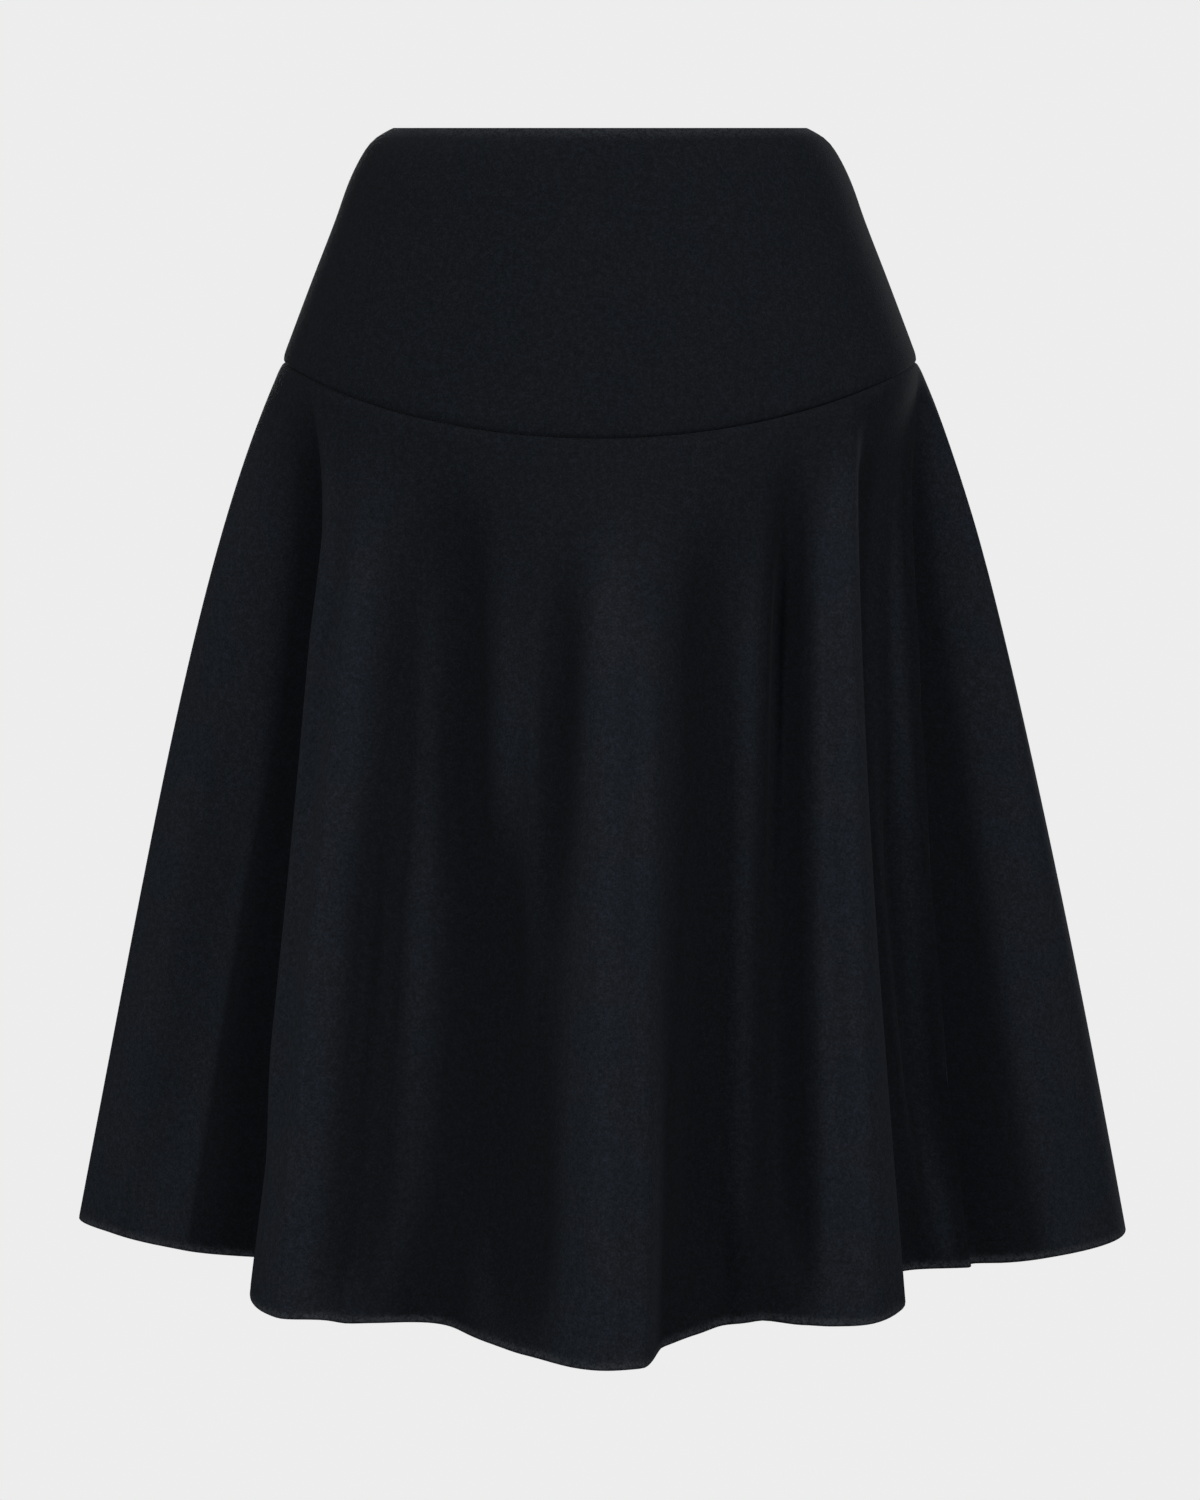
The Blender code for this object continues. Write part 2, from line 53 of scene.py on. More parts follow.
# Soft lights, all the same size and as far from the middle of the skirt, and the studio around it
SKIRT_MIDDLE = Vector((0.0, 0.0, -0.3))
SOFTBOX_DISTANCE = 3.3
SOFTBOX_SIZE = 0.9
BACKDROP_RADIUS = 7.0
FLOOR_HEIGHT = -1.05
STUDIO_GREY = "#EDEDED"
STUDIO_GLOW = 0.03

# Cloth, and how its edges end: drawn in at a seam, cut clean at the hem and rounded at the waist. The hem's
# lighter line is partly its cut fibres and partly painted highlight; the waist edge has a painted highlight.
CLOTH = 2.0 * MM
SEAM_SPACE = 0.1 * MM
SEAM_ROUND = 1.9 * MM
SEAM_SINK = 1.3 * MM
SEAM_SINK_REACH = 7.0 * MM
CUT_ROUND = 0.9 * MM
# Hem's lighter line, partly cut fibres and partly painted highlight, above a strip at the cut left unchanged
HEM_EDGE = 4.2 * MM
HEM_SHADE = 1.6 * MM
# Painted highlight along the waist edge: how far down it reaches and how strong it is
WAIST_HIGHLIGHT_REACH = 7.0 * MM
WAIST_HIGHLIGHT = 0.9

# Seam allowances pressed open inside, and the overlock thread over their raw edges
ALLOWANCE = 10.0 * MM
ALLOWANCE_THICK = 1.5 * MM
ALLOWANCE_SPACE = 0.15 * MM
ALLOWANCE_COLUMNS = 3
ALLOWANCE_FEWEST_ROWS = 8
SEAM_TURN = 0.6 * MM
SEAM_LAP = 0.5 * MM
OVERLOCK_WIDE = 4.0 * MM
OVERLOCK_PITCH = 2.8 * MM
OVERLOCK_INNER_SWING = -0.1
OVERLOCK_TRACE_STEPS = 40
THREAD_RADIUS = 0.16 * MM
THREAD_LIFT = 0.6
THREAD_END = 0.3
THREAD_SIDES = 5
WELD_DISTANCE = 0.001 * MM

# Where the upright seams' allowances begin and end, as shares of the yoke's or the flare's drop
YOKE_ALLOWANCE_START = 0.02
YOKE_ALLOWANCE_END = 0.91
SIDE_ALLOWANCE_START = 0.024
CENTRE_ALLOWANCE_START = 0.0787
FLARE_ALLOWANCE_END = 0.998

# Concealed zip: woven tapes behind the centre back seam, a nylon coil on each, and their stitching
TAPE_TOP = -6.0 * MM
TAPE_BOTTOM = -198.0 * MM
TAPE_INNER_EDGE = 1.5 * MM
TAPE_OUTER_EDGE = 13.0 * MM
TAPE_THICK = 0.8 * MM
TAPE_CLEARANCE = 0.6 * MM
TAPE_COLUMNS = 8
TAPE_ROWS = 64
COIL_TOP = -9.0 * MM
COIL_BOTTOM = -197.0 * MM
COIL_PITCH = 1.25 * MM
COIL_HALF_WIDE = 1.1 * MM
COIL_HALF_THICK = 0.7 * MM
COIL_WIRE = 0.27 * MM
COIL_ASIDE = 0.75 * MM
COIL_STEPS = 10
STITCH_LENGTH = 2.8 * MM
STITCH_START = 4.0 * MM
STITCH_STEPS = 4
STITCHES_ASIDE = (4.5 * MM, 11.0 * MM)
TAPE_TO_ALLOWANCE = 1.0 * MM

# Surface of the wool: painted highlight on the folds' crests and painted shade in their valleys, how these
# are found and how strong they are, and how coarse its nap is
RELIEF_SHADE_WAY = 0.045
RELIEF_SHADE_HEIGHT = 7.0 * MM
RELIEF_SHADE_START = 0.12
DEEPEST_VALLEY_SHADE = -0.6
RELIEF_SHADE_SHARE = 0.55
NAP_SIZE = 1.2 * MM
NAP_HEIGHT = 0.4 * MM
CLUMP_SIZE = 3.0 * MM
CLUMP_SHARE = 0.33
DYE_PATCH_SIZE = 35.0 * MM

# Weave of the tape, whose texture repeats once in a wave length at scale 1
WAVE_LENGTH = 0.314
RIB_PITCH = 0.9 * MM
WEFT_PITCH = 0.5 * MM
WEAVE_HEIGHT = 0.15 * MM

# Mottle of the thread and of the coil, and the slider's scuffs and orange peel
TWIST_SIZE = 0.5 * MM
MOTTLE_SIZE = 3.0 * MM
SCUFF_SIZE = 1.6 * MM
PEEL_SIZE = 0.6 * MM
PEEL_HEIGHT = 0.05 * MM

# Hip yoke: level sections from the waist edge down, an ellipse each, deeper behind than in front
Section = namedtuple("Section", "height half_width front_depth back_depth")
YOKE_SECTIONS = (
    Section(height=0.0, half_width=114.8, front_depth=86.0, back_depth=84.0),
    Section(height=-3.0, half_width=120.6, front_depth=90.4, back_depth=88.8),
    Section(height=-7.0, half_width=126.7, front_depth=94.4, back_depth=93.4),
    Section(height=-13.0, half_width=131.7, front_depth=97.6, back_depth=97.4),
    Section(height=-29.0, half_width=140.2, front_depth=102.0, back_depth=103.4),
    Section(height=-52.0, half_width=148.8, front_depth=106.4, back_depth=110.0),
    Section(height=-85.0, half_width=162.0, front_depth=112.6, back_depth=119.0),
    Section(height=-130.0, half_width=179.5, front_depth=120.6, back_depth=129.6),
    Section(height=-170.0, half_width=194.6, front_depth=127.6, back_depth=137.6),
)

# Seam between yoke and flare: highest at the sides, dipping to the centre front and centre back
SEAM_SIDE_HEIGHT = -130.5 * MM
SEAM_FRONT_DIP = 33.5 * MM
SEAM_BACK_DIP = 31.0 * MM
SEAM_CURVE_POWER = 2.2

# Hem: level, and as deep in and out as its flutes, a row each. A bearing is in degrees from the centre
# front towards the wearer's left, and a reach is in millimetres from the upright centre line. Going round,
# a flute rises from its foot in the valley, over its shoulder to its crest, and falls past its edge.
# Seam holds the bearings on the seam's ellipse from which its foot, shoulder and crest run down.
HEM_HEIGHT = -632.0 * MM
Flute = namedtuple("Flute", "name seam foot shoulder crest edge fall")
FLUTES = (
    Flute("right side", (-115, -104, -90.5), (-108, 213), (-100, 257), (-91, 306), (-84, 283), (-75, 245)),
    Flute("front right", (-61.5, -59.5, -42.5), (-64, 192), (-56, 232), (-43, 258), (-35, 243), (-31, 230)),
    Flute("front centre", (-24.8, -8, 2), (-24.5, 216), (-9, 262), (0.5, 280), (4.6, 277), (8, 243)),
    Flute("front left", (31.5, 35.5, 46.5), (23.5, 213), (28, 232), (36.5, 248), (43, 240), (49, 221)),
    Flute("left side", (54, 81, 89.3), (57.5, 199), (68.5, 247), (86, 306), (94, 294), (103, 246)),
    Flute("back left outer", (116, 125, 135), (112, 212), (122, 250), (131, 266), (138, 255), (143, 232)),
    Flute("back left inner", (151, 157, 167), (150, 213), (159, 256), (167, 274), (174, 263), (179, 237)),
    Flute("back right inner", (184, 194, 204), (187, 221), (197, 262), (206, 277), (212, 264), (216, 234)),
    Flute("back right outer", (217, 222, 230), (222, 209), (230, 246), (238, 260), (243, 247), (247, 226)),
)

# The same hem without its folds, an oval. Folds stand out from it: start is how far below the seam they
# stay soft, at the sides and at the front and back, and growth how much faster they deepen there than
# near the hem. Crisp is the power of the share by which a round fold takes on the hem's sharper profile.
OPEN_HALF_WIDTH = 273.0 * MM
OPEN_FRONT_DEPTH = 236.0 * MM
OPEN_BACK_DEPTH = 238.0 * MM
FOLD_START_SIDE = 0.01
FOLD_START_FRONT = 0.1
FOLD_GROWTH = 3.8
FOLD_CRISP = 1.2

# Shallow ripples between the flutes. Start and stop are bearings on the seam's ellipse where a ripple's
# line would meet the seam from its top and from its bottom end, width is in the same degrees, rise is
# out of the cloth in millimetres, and top and bottom are how far down the flare it begins and ends.
Ripple = namedtuple("Ripple", "start stop width rise top bottom")
RIPPLES = (
    Ripple(start=-50.5, stop=-50.5, width=5.0, rise=7.0, top=0.05, bottom=0.8),
    Ripple(start=-40.5, stop=-40.0, width=4.5, rise=4.5, top=0.06, bottom=0.95),
    Ripple(start=-34.6, stop=-33.0, width=5.5, rise=-11.0, top=0.12, bottom=0.95),
    Ripple(start=-29.0, stop=-26.0, width=4.0, rise=3.5, top=0.08, bottom=0.95),
    Ripple(start=-22.5, stop=-17.0, width=4.5, rise=-5.5, top=0.04, bottom=0.9),
    Ripple(start=-17.0, stop=-12.0, width=4.0, rise=2.5, top=0.04, bottom=0.5),
    Ripple(start=-12.5, stop=-11.5, width=5.0, rise=-5.0, top=0.3, bottom=0.95),
    Ripple(start=-4.7, stop=-5.5, width=5.0, rise=-11.0, top=0.08, bottom=0.95),
    Ripple(start=2.0, stop=2.0, width=4.5, rise=5.5, top=0.04, bottom=0.95),
    Ripple(start=16.5, stop=18.0, width=9.0, rise=-15.0, top=0.06, bottom=0.95),
    Ripple(start=26.5, stop=28.5, width=4.0, rise=4.0, top=0.15, bottom=1.0),
    Ripple(start=33.3, stop=33.8, width=4.0, rise=-11.0, top=0.02, bottom=0.95),
    Ripple(start=44.5, stop=45.0, width=4.0, rise=3.5, top=0.06, bottom=0.95),
    Ripple(start=82.0, stop=66.0, width=7.0, rise=4.0, top=0.08, bottom=0.7),
    Ripple(start=86.0, stop=78.5, width=5.0, rise=-26.0, top=0.02, bottom=1.0),
)
RIPPLE_FADE_IN = 0.25
RIPPLE_FADE_OUT = 0.2

# Creases over the ripples, all the way round and in the same terms, which move, soften and break them up
CREASES = (
    Ripple(start=-78.0, stop=-74.0, width=5.0, rise=-2.0, top=0.15, bottom=0.9),
    Ripple(start=-70.0, stop=-69.0, width=4.0, rise=1.5, top=0.3, bottom=0.8),
    Ripple(start=-66.0, stop=-65.0, width=8.0, rise=9.0, top=0.35, bottom=1.0),
    Ripple(start=-36.5, stop=-37.5, width=4.3, rise=-10.0, top=0.35, bottom=1.0),
    Ripple(start=-33.8, stop=-32.5, width=5.0, rise=7.0, top=0.12, bottom=1.0),
    Ripple(start=-26.5, stop=-26.5, width=7.5, rise=6.0, top=0.35, bottom=1.0),
    Ripple(start=-22.0, stop=-18.0, width=4.5, rise=2.5, top=0.04, bottom=0.6),
    Ripple(start=-15.5, stop=-10.5, width=9.0, rise=-14.0, top=0.35, bottom=0.98),
    Ripple(start=15.0, stop=15.5, width=6.0, rise=4.0, top=0.1, bottom=0.7),
    Ripple(start=25.0, stop=25.5, width=6.5, rise=-7.5, top=0.15, bottom=1.0),
    Ripple(start=33.0, stop=33.3, width=4.0, rise=8.0, top=0.04, bottom=0.95),
    Ripple(start=35.2, stop=35.6, width=4.0, rise=-13.0, top=0.02, bottom=0.95),
    Ripple(start=70.0, stop=67.0, width=8.0, rise=-10.0, top=0.35, bottom=0.9),
    Ripple(start=97.0, stop=99.0, width=7.0, rise=-4.0, top=0.08, bottom=0.95),
    Ripple(start=108.0, stop=106.0, width=6.0, rise=2.5, top=0.15, bottom=0.9),
    Ripple(start=121.0, stop=122.0, width=6.0, rise=-2.5, top=0.2, bottom=0.85),
    Ripple(start=143.0, stop=144.0, width=8.0, rise=-6.5, top=0.05, bottom=1.0),
    Ripple(start=151.0, stop=150.0, width=5.0, rise=2.5, top=0.15, bottom=0.9),
    Ripple(start=162.0, stop=161.0, width=4.0, rise=-1.5, top=0.3, bottom=0.8),
    Ripple(start=186.0, stop=185.0, width=7.0, rise=-4.5, top=0.08, bottom=0.95),
    Ripple(start=194.0, stop=196.0, width=5.0, rise=2.0, top=0.2, bottom=0.85),
    Ripple(start=214.0, stop=213.0, width=7.0, rise=-6.0, top=0.06, bottom=1.0),
    Ripple(start=221.0, stop=223.0, width=5.0, rise=2.0, top=0.2, bottom=0.9),
    Ripple(start=242.0, stop=240.0, width=8.0, rise=-4.5, top=0.08, bottom=0.95),
    Ripple(start=254.0, stop=257.0, width=6.0, rise=3.0, top=0.12, bottom=0.9),
)

# Slow shallow waves in the cloth: how far a wave's angle runs in a radian around, and from seam to hem
WAVE_RISE = 0.5 * MM
BROAD_WAVES = (9.0, 2.0)
CROSS_WAVES = (2.0, 5.0)
SLANTED_WAVES = (17.0, -7.0)
SLANTED_SHARE = 0.5
WAVE_START = 0.1

# A faint slanting crease near the yoke's waist edge, in bearings and in heights
YOKE_CREASE_MIDDLE = -46.0
YOKE_CREASE_HALF_LENGTH = 11.0
YOKE_CREASE_HEIGHT = -27.0 * MM
YOKE_CREASE_SLANT = 0.45 * MM
YOKE_CREASE_HALF_WIDTH = 4.0 * MM
YOKE_CREASE_DEPTH = 0.5 * MM

# Way around the skirt: 0 to 1 is the front, from the wearer's right side seam to the left one, and
# 1 to 2 the back, each an even share of that half's length. The centre back is halfway along it.
RIGHT_SIDE = 0.0
LEFT_SIDE = 1.0
CENTRE_BACK = 1.5
FULL_TURN = 2.0

# Rough lengths of half the waist, seam and hem, and of the yoke and the flare from top to bottom
HALF_WAIST = 320.0 * MM
HALF_SEAM = 490.0 * MM
HALF_HEM = 950.0 * MM
YOKE_DROP = 150.0 * MM
FLARE_DROP = 500.0 * MM

# Fineness of the cloth: of traced lines, of the steps that find which way it faces, and of its mesh, with
# extra lines close to an edge. Beside the seam, yoke and flare blend their facing over a share of each.
TRACE_STEPS = 720
FACING_STEP = 0.001
YOKE_STEP = 4.0 * MM
FLARE_STEP_ACROSS = 4.2 * MM
FLARE_STEP_DOWN = 5.0 * MM
EDGE_LINES = np.array((0.0, 0.15, 0.45, 0.9, 1.5, 2.3, 3.4, 4.8, 6.6)) * MM
YOKE_BLEND = 0.03
FLARE_BLEND = 0.01
SMOOTH_ANGLE = math.radians(60.0)


def srgb(code):
    """Linear colour of an sRGB hex code."""
    shares = [int(code[place:place + 2], 16) / 255.0 for place in (1, 3, 5)]
    linear = [share / 12.92 if share <= 0.04045 else ((share + 0.055) / 1.055) ** 2.4 for share in shares]
    return (*linear, 1.0)


def node(tree, kind, links=None, **settings):
    """Adds a node. Settings name its properties or inputs, and links map inputs to other nodes' outputs."""
    made = tree.nodes.new(kind)
    for name, value in settings.items():
        if hasattr(made, name):
            setattr(made, name, value)
        else:
            made.inputs[name.replace("_", " ").title()].default_value = value
    for name, source in (links or {}).items():
        tree.links.new(source, made.inputs[name])
    return made


# Form of the skirt, on whole arrays of places at once

def smooth_step(share):
    share = np.clip(share, 0.0, 1.0)
    return share * share * (3.0 - 2.0 * share)


def joined(x, y, z):
    return np.stack(np.broadcast_arrays(x, y, z), axis=-1)


class SmoothLine:
    """A smooth line through a table's values, which rises and falls only where the values do."""

    def __init__(self, places, values):
        self.places = np.array(places, dtype=float)
        self.values = np.array(values, dtype=float)
        steps = np.diff(self.values) / np.diff(self.places)
        before = steps[:-1]
        after = steps[1:]
        together = before * after > 0.0
        total = np.where(together, before + after, 1.0)
        middle = np.where(together, 2.0 * before * after / total, 0.0)
        self.slopes = np.concatenate((steps[:1], middle, steps[-1:]))

    def at(self, place):
        place = np.clip(place, self.places[0], self.places[-1])
        row = np.searchsorted(self.places, place, side="right") - 1
        row = np.clip(row, 0, len(self.places) - 2)
        span = self.places[row + 1] - self.places[row]
        share = (place - self.places[row]) / span
        start_pull = share * (1.0 - share) ** 2 * span * self.slopes[row]
        end_pull = share ** 2 * (share - 1.0) * span * self.slopes[row + 1]
        eased = smooth_step(share)
        return self.values[row] * (1.0 - eased) + self.values[row + 1] * eased + start_pull + end_pull


def section_line(column):
    rows = YOKE_SECTIONS[::-1]
    return SmoothLine([row.height for row in rows], [getattr(row, column) for row in rows])


HALF_WIDTH_LINE = section_line("half_width")
FRONT_DEPTH_LINE = section_line("front_depth")
BACK_DEPTH_LINE = section_line("back_depth")


def section_point(height, bearing):
    """Points of the level sections at some heights, bearings in radians around their ellipses."""
    front = FRONT_DEPTH_LINE.at(height / MM)
    back = BACK_DEPTH_LINE.at(height / MM)
    depth = np.where(np.cos(bearing) > 0.0, front, back) * MM
    across = HALF_WIDTH_LINE.at(height / MM) * MM * np.sin(bearing)
    return joined(across, -depth * np.cos(bearing), height)


def seam_height(bearing):
    forward = np.cos(bearing)
    dip = np.where(forward > 0.0, SEAM_FRONT_DIP, SEAM_BACK_DIP)
    return SEAM_SIDE_HEIGHT - dip * np.abs(forward) ** SEAM_CURVE_POWER


def seam_point(bearing):
    return section_point(seam_height(bearing), bearing)


def hem_lines():
    """Lines over a full turn: the hem's reach, that of rounder folds, and the bearing below the seam's."""
    reaches = []
    rounded = []
    bearings = []
    for turn in (-360.0, 0.0, 360.0):
        for flute in FLUTES:
            for corner in (flute.foot, flute.shoulder, flute.crest, flute.edge, flute.fall):
                reaches.append((corner[0] + turn, corner[1]))
            for corner in (flute.foot, flute.crest):
                rounded.append((corner[0] + turn, corner[1]))
            for above, below in zip(flute.seam, (flute.foot, flute.shoulder, flute.crest)):
                bearings.append((above + turn, below[0] + turn))
    return SmoothLine(*zip(*reaches)), SmoothLine(*zip(*rounded)), SmoothLine(*zip(*bearings))


HEM_REACH, ROUND_REACH, HEM_BEARING = hem_lines()


def lengths_along(points):
    """Length travelled along a row of points at each of them, from 0."""
    steps = np.linalg.norm(np.diff(points, axis=0), axis=1)
    return np.concatenate(([0.0], np.cumsum(steps)))


def seam_shares(start, stop):
    """Bearings along the seam, and the share of its length reached at each of them."""
    bearings = np.linspace(math.radians(start), math.radians(stop), TRACE_STEPS + 1)
    travelled = lengths_along(seam_point(bearings))
    return travelled / travelled[-1], bearings


FRONT_SHARES = seam_shares(-90.0, 90.0)
BACK_SHARES = seam_shares(90.0, 270.0)


def seam_bearing(way):
    """Bearings on the seam's ellipse at some ways around the skirt."""
    way = np.mod(way, FULL_TURN)
    front = np.interp(way, *FRONT_SHARES)
    back = np.interp(way - LEFT_SIDE, *BACK_SHARES)
    return np.where(way < LEFT_SIDE, front, back)


def yoke_point(way, down):
    """Points on the yoke's outer face, down from 0 at the waist edge to 1 at the seam."""
    bearing = seam_bearing(way)
    height = seam_height(bearing) * down
    off_middle = np.degrees(bearing) - YOKE_CREASE_MIDDLE
    along = np.clip(np.abs(off_middle) / YOKE_CREASE_HALF_LENGTH, 0.0, 1.0)
    level = YOKE_CREASE_HEIGHT + YOKE_CREASE_SLANT * off_middle
    aside = np.clip(np.abs(height - level) / YOKE_CREASE_HALF_WIDTH, 0.0, 1.0)
    crease = YOKE_CREASE_DEPTH * (1.0 - smooth_step(along)) * (1.0 - smooth_step(aside))
    outward = joined(np.sin(bearing), -np.cos(bearing), 0.0)
    return section_point(height, bearing) - outward * crease[..., None]


def ripple_rise(bearing, down):
    """How far the ripples lift the cloth, each a smooth bump across that fades in and out down the skirt."""
    degrees = np.mod(np.degrees(bearing) + 90.0, 360.0) - 90.0
    total = np.zeros_like(degrees)
    for ripple in RIPPLES + CREASES:
        middle = ripple.start + (ripple.stop - ripple.start) * down
        off_side = np.clip(np.abs(degrees - middle) / ripple.width, 0.0, 1.0)
        fade_in = smooth_step((down - ripple.top) / RIPPLE_FADE_IN)
        fade_out = smooth_step((ripple.bottom - down) / RIPPLE_FADE_OUT + 0.5)
        total += ripple.rise * MM * fade_in * fade_out * np.cos(off_side * math.pi / 2.0) ** 2
    return total


def slow_waves(bearing, down):
    broad, cross, slanted = (
        np.sin(around * bearing + along * down)
        for around, along in (BROAD_WAVES, CROSS_WAVES, SLANTED_WAVES)
    )
    return WAVE_RISE * (broad * cross + SLANTED_SHARE * slanted) * smooth_step(down / WAVE_START)


def flare_point(way, down):
    """Points on the flare's outer face: lines from seam to open hem, moved out or in by the folds."""
    above = seam_bearing(way)
    below = np.radians(HEM_BEARING.at(np.degrees(above)))
    outward = joined(np.sin(below), -np.cos(below), 0.0)
    depth = np.where(np.cos(below) > 0.0, OPEN_FRONT_DEPTH, OPEN_BACK_DEPTH)
    oval = 1.0 / np.hypot(np.sin(below) / OPEN_HALF_WIDTH, np.cos(below) / depth)
    bottom = joined(oval * np.sin(below), -oval * np.cos(below), HEM_HEIGHT)
    start = FOLD_START_SIDE + (FOLD_START_FRONT - FOLD_START_SIDE) * np.abs(np.cos(above))
    eased = down ** 2 * (1.0 + start) / (down + start)
    grown = (1.0 + FOLD_GROWTH) * eased / (1.0 + FOLD_GROWTH * eased)
    crisp = HEM_REACH.at(np.degrees(below)) * MM
    rounded = ROUND_REACH.at(np.degrees(below)) * MM
    reach = rounded + (crisp - rounded) * down ** FOLD_CRISP
    fold = (reach - oval) * grown + ripple_rise(above, down) + slow_waves(above, down)
    top = seam_point(above)
    return top + (bottom - top) * down[..., None] + outward * fold[..., None]


def facing(surface, way, down):
    """Unit vectors straight out of a surface."""
    above = np.maximum(down - FACING_STEP, 0.0)
    below = np.minimum(down + FACING_STEP, 1.0)
    along = surface(way + FACING_STEP, down) - surface(way - FACING_STEP, down)
    upward = surface(way, above) - surface(way, below)
    straight = np.cross(along, upward)
    return straight / np.linalg.norm(straight, axis=-1, keepdims=True)


def seam_blended_facing(surface, way, down):
    """Straight out of a surface, and at the yoke seam halfway between yoke and flare."""
    own = facing(surface, way, down)
    if surface is yoke_point:
        other = facing(flare_point, way, np.zeros_like(down))
        near = smooth_step((down - (1.0 - YOKE_BLEND)) / YOKE_BLEND)
    else:
        other = facing(yoke_point, way, np.ones_like(down))
        near = smooth_step(1.0 - down / FLARE_BLEND)
    mixed = own + other * near[..., None]
    return mixed / np.linalg.norm(mixed, axis=-1, keepdims=True)


def crest_highlight_valley_shade(way, down):
    """Painted highlight and shade of the folds: from 1 on a fold's crest, painted lighter, to below 0 in a
    valley, painted darker.
    """
    places = [flare_point(way + shift, down) for shift in (-RELIEF_SHADE_WAY, 0.0, RELIEF_SHADE_WAY)]
    before, here, after = (np.linalg.norm(place[..., :2], axis=-1) for place in places)
    stands_out = here - (before + after) / 2.0
    return np.clip(stands_out / RELIEF_SHADE_HEIGHT, DEEPEST_VALLEY_SHADE, 1.0) * smooth_step(down / RELIEF_SHADE_START)


# Cloth sheets

def edge_crowded(length, step):
    """Shares of a length at even steps, with extra ones close to both ends where the edge turns."""
    reach = EDGE_LINES[-1]
    count = max(2, round((length - 2.0 * reach) / step))
    middle = np.linspace(reach, length - reach, count + 1)
    return np.concatenate((EDGE_LINES[:-1], middle, length - EDGE_LINES[-2::-1])) / length


def turned(distance, radius):
    """Depth below the face of an edge rounded to a radius, at a distance in from its end."""
    left = np.clip(1.0 - distance / radius, 0.0, 1.0)
    return radius * (1.0 - np.sqrt(1.0 - left ** 2))


def sunk(distance):
    """How deep the whole cloth sinks at a distance from its seam, where it is drawn in by the stitching."""
    return SEAM_SINK * np.clip(1.0 - distance / SEAM_SINK_REACH, 0.0, 1.0) ** 2


def cloth_sheet(name, surface, ways, downs, outer_depth, inner_depth, finish, edge=None):
    """A closed sheet of cloth over a grid of ways and downs, each face at its depth under the surface.
    Edge is a function for how much lighter each row is near an edge: at the hem partly its cut fibres
    and partly painted highlight, at the waist painted highlight."""
    columns = len(ways) - 1
    rows = len(downs) - 1
    sheet = bmesh.new()
    edge_layer = sheet.verts.layers.float.new("edge")
    relief_shade_layer = sheet.verts.layers.float.new("relief_shade")
    laid = bmesh.ops.create_grid(sheet, x_segments=columns, y_segments=rows, size=0.5)
    raised = bmesh.ops.extrude_face_region(sheet, geom=sheet.faces[:])
    outer_corners = [item for item in raised["geom"] if isinstance(item, bmesh.types.BMVert)]
    for corners, depth in ((outer_corners, outer_depth), (laid["verts"], inner_depth)):
        flat = np.array([tuple(corner.co) for corner in corners])
        way = ways[np.rint((flat[:, 0] + 0.5) * columns).astype(int)]
        down = downs[np.rint((0.5 - flat[:, 1]) * rows).astype(int)]
        straight = seam_blended_facing(surface, way, down)
        placed = surface(way, down) - straight * depth(way, down)[..., None]
        paleness = edge(down) if edge else np.zeros_like(down)
        # Painted highlight on the flare's fold crests and painted shade in its valleys, kept for the wool's
        # colour
        relief_shade = crest_highlight_valley_shade(way, down) if surface is flare_point else np.zeros_like(down)
        for corner, place, pale, shade_highlight_and_roughness in zip(corners, placed, paleness, relief_shade):
            corner.co = place
            corner[edge_layer] = pale
            corner[relief_shade_layer] = shade_highlight_and_roughness
    return finished_piece(name, sheet, finish)


def finished_piece(name, shape, finish):
    mesh = bpy.data.meshes.new(name)
    shape.to_mesh(mesh)
    shape.free()
    mesh.materials.append(finish)
    mesh.shade_smooth()
    mesh.set_sharp_from_angle(angle=SMOOTH_ANGLE)
    piece = bpy.data.objects.new(name, mesh)
    bpy.context.collection.objects.link(piece)
    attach(piece, "skirt")
    return piece


def yoke_sheet(name, node_name, start, stop, finish):
    """One panel of the yoke: turned in at its seams, and rounded at the waist edge, with a painted highlight
    along it.
    """
    trim = SEAM_SPACE / 2.0 / HALF_WAIST
    length = (stop - start) * HALF_WAIST
    ways = start + trim + (stop - start - 2.0 * trim) * edge_crowded(length, YOKE_STEP)
    downs = edge_crowded(YOKE_DROP, YOKE_STEP)

    def outer_depth(way, down):
        aside = np.minimum(way - ways[0], ways[-1] - way) * HALF_WAIST
        below = (1.0 - down) * YOKE_DROP
        at_seam = np.maximum(turned(aside, SEAM_ROUND), turned(below, SEAM_ROUND))
        return np.maximum(at_seam, turned(down * YOKE_DROP, CUT_ROUND)) + sunk(below)

    def inner_depth(way, down):
        return CLOTH - turned(down * YOKE_DROP, CUT_ROUND) + sunk((1.0 - down) * YOKE_DROP)

    # Painted highlight along the waist edge, fading out downwards
    def edge(down):
        return WAIST_HIGHLIGHT * (1.0 - smooth_step(down * YOKE_DROP / WAIST_HIGHLIGHT_REACH))

    sheet = cloth_sheet(name, yoke_point, ways, downs, outer_depth, inner_depth, finish, edge)
    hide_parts(node_name)
    return sheet


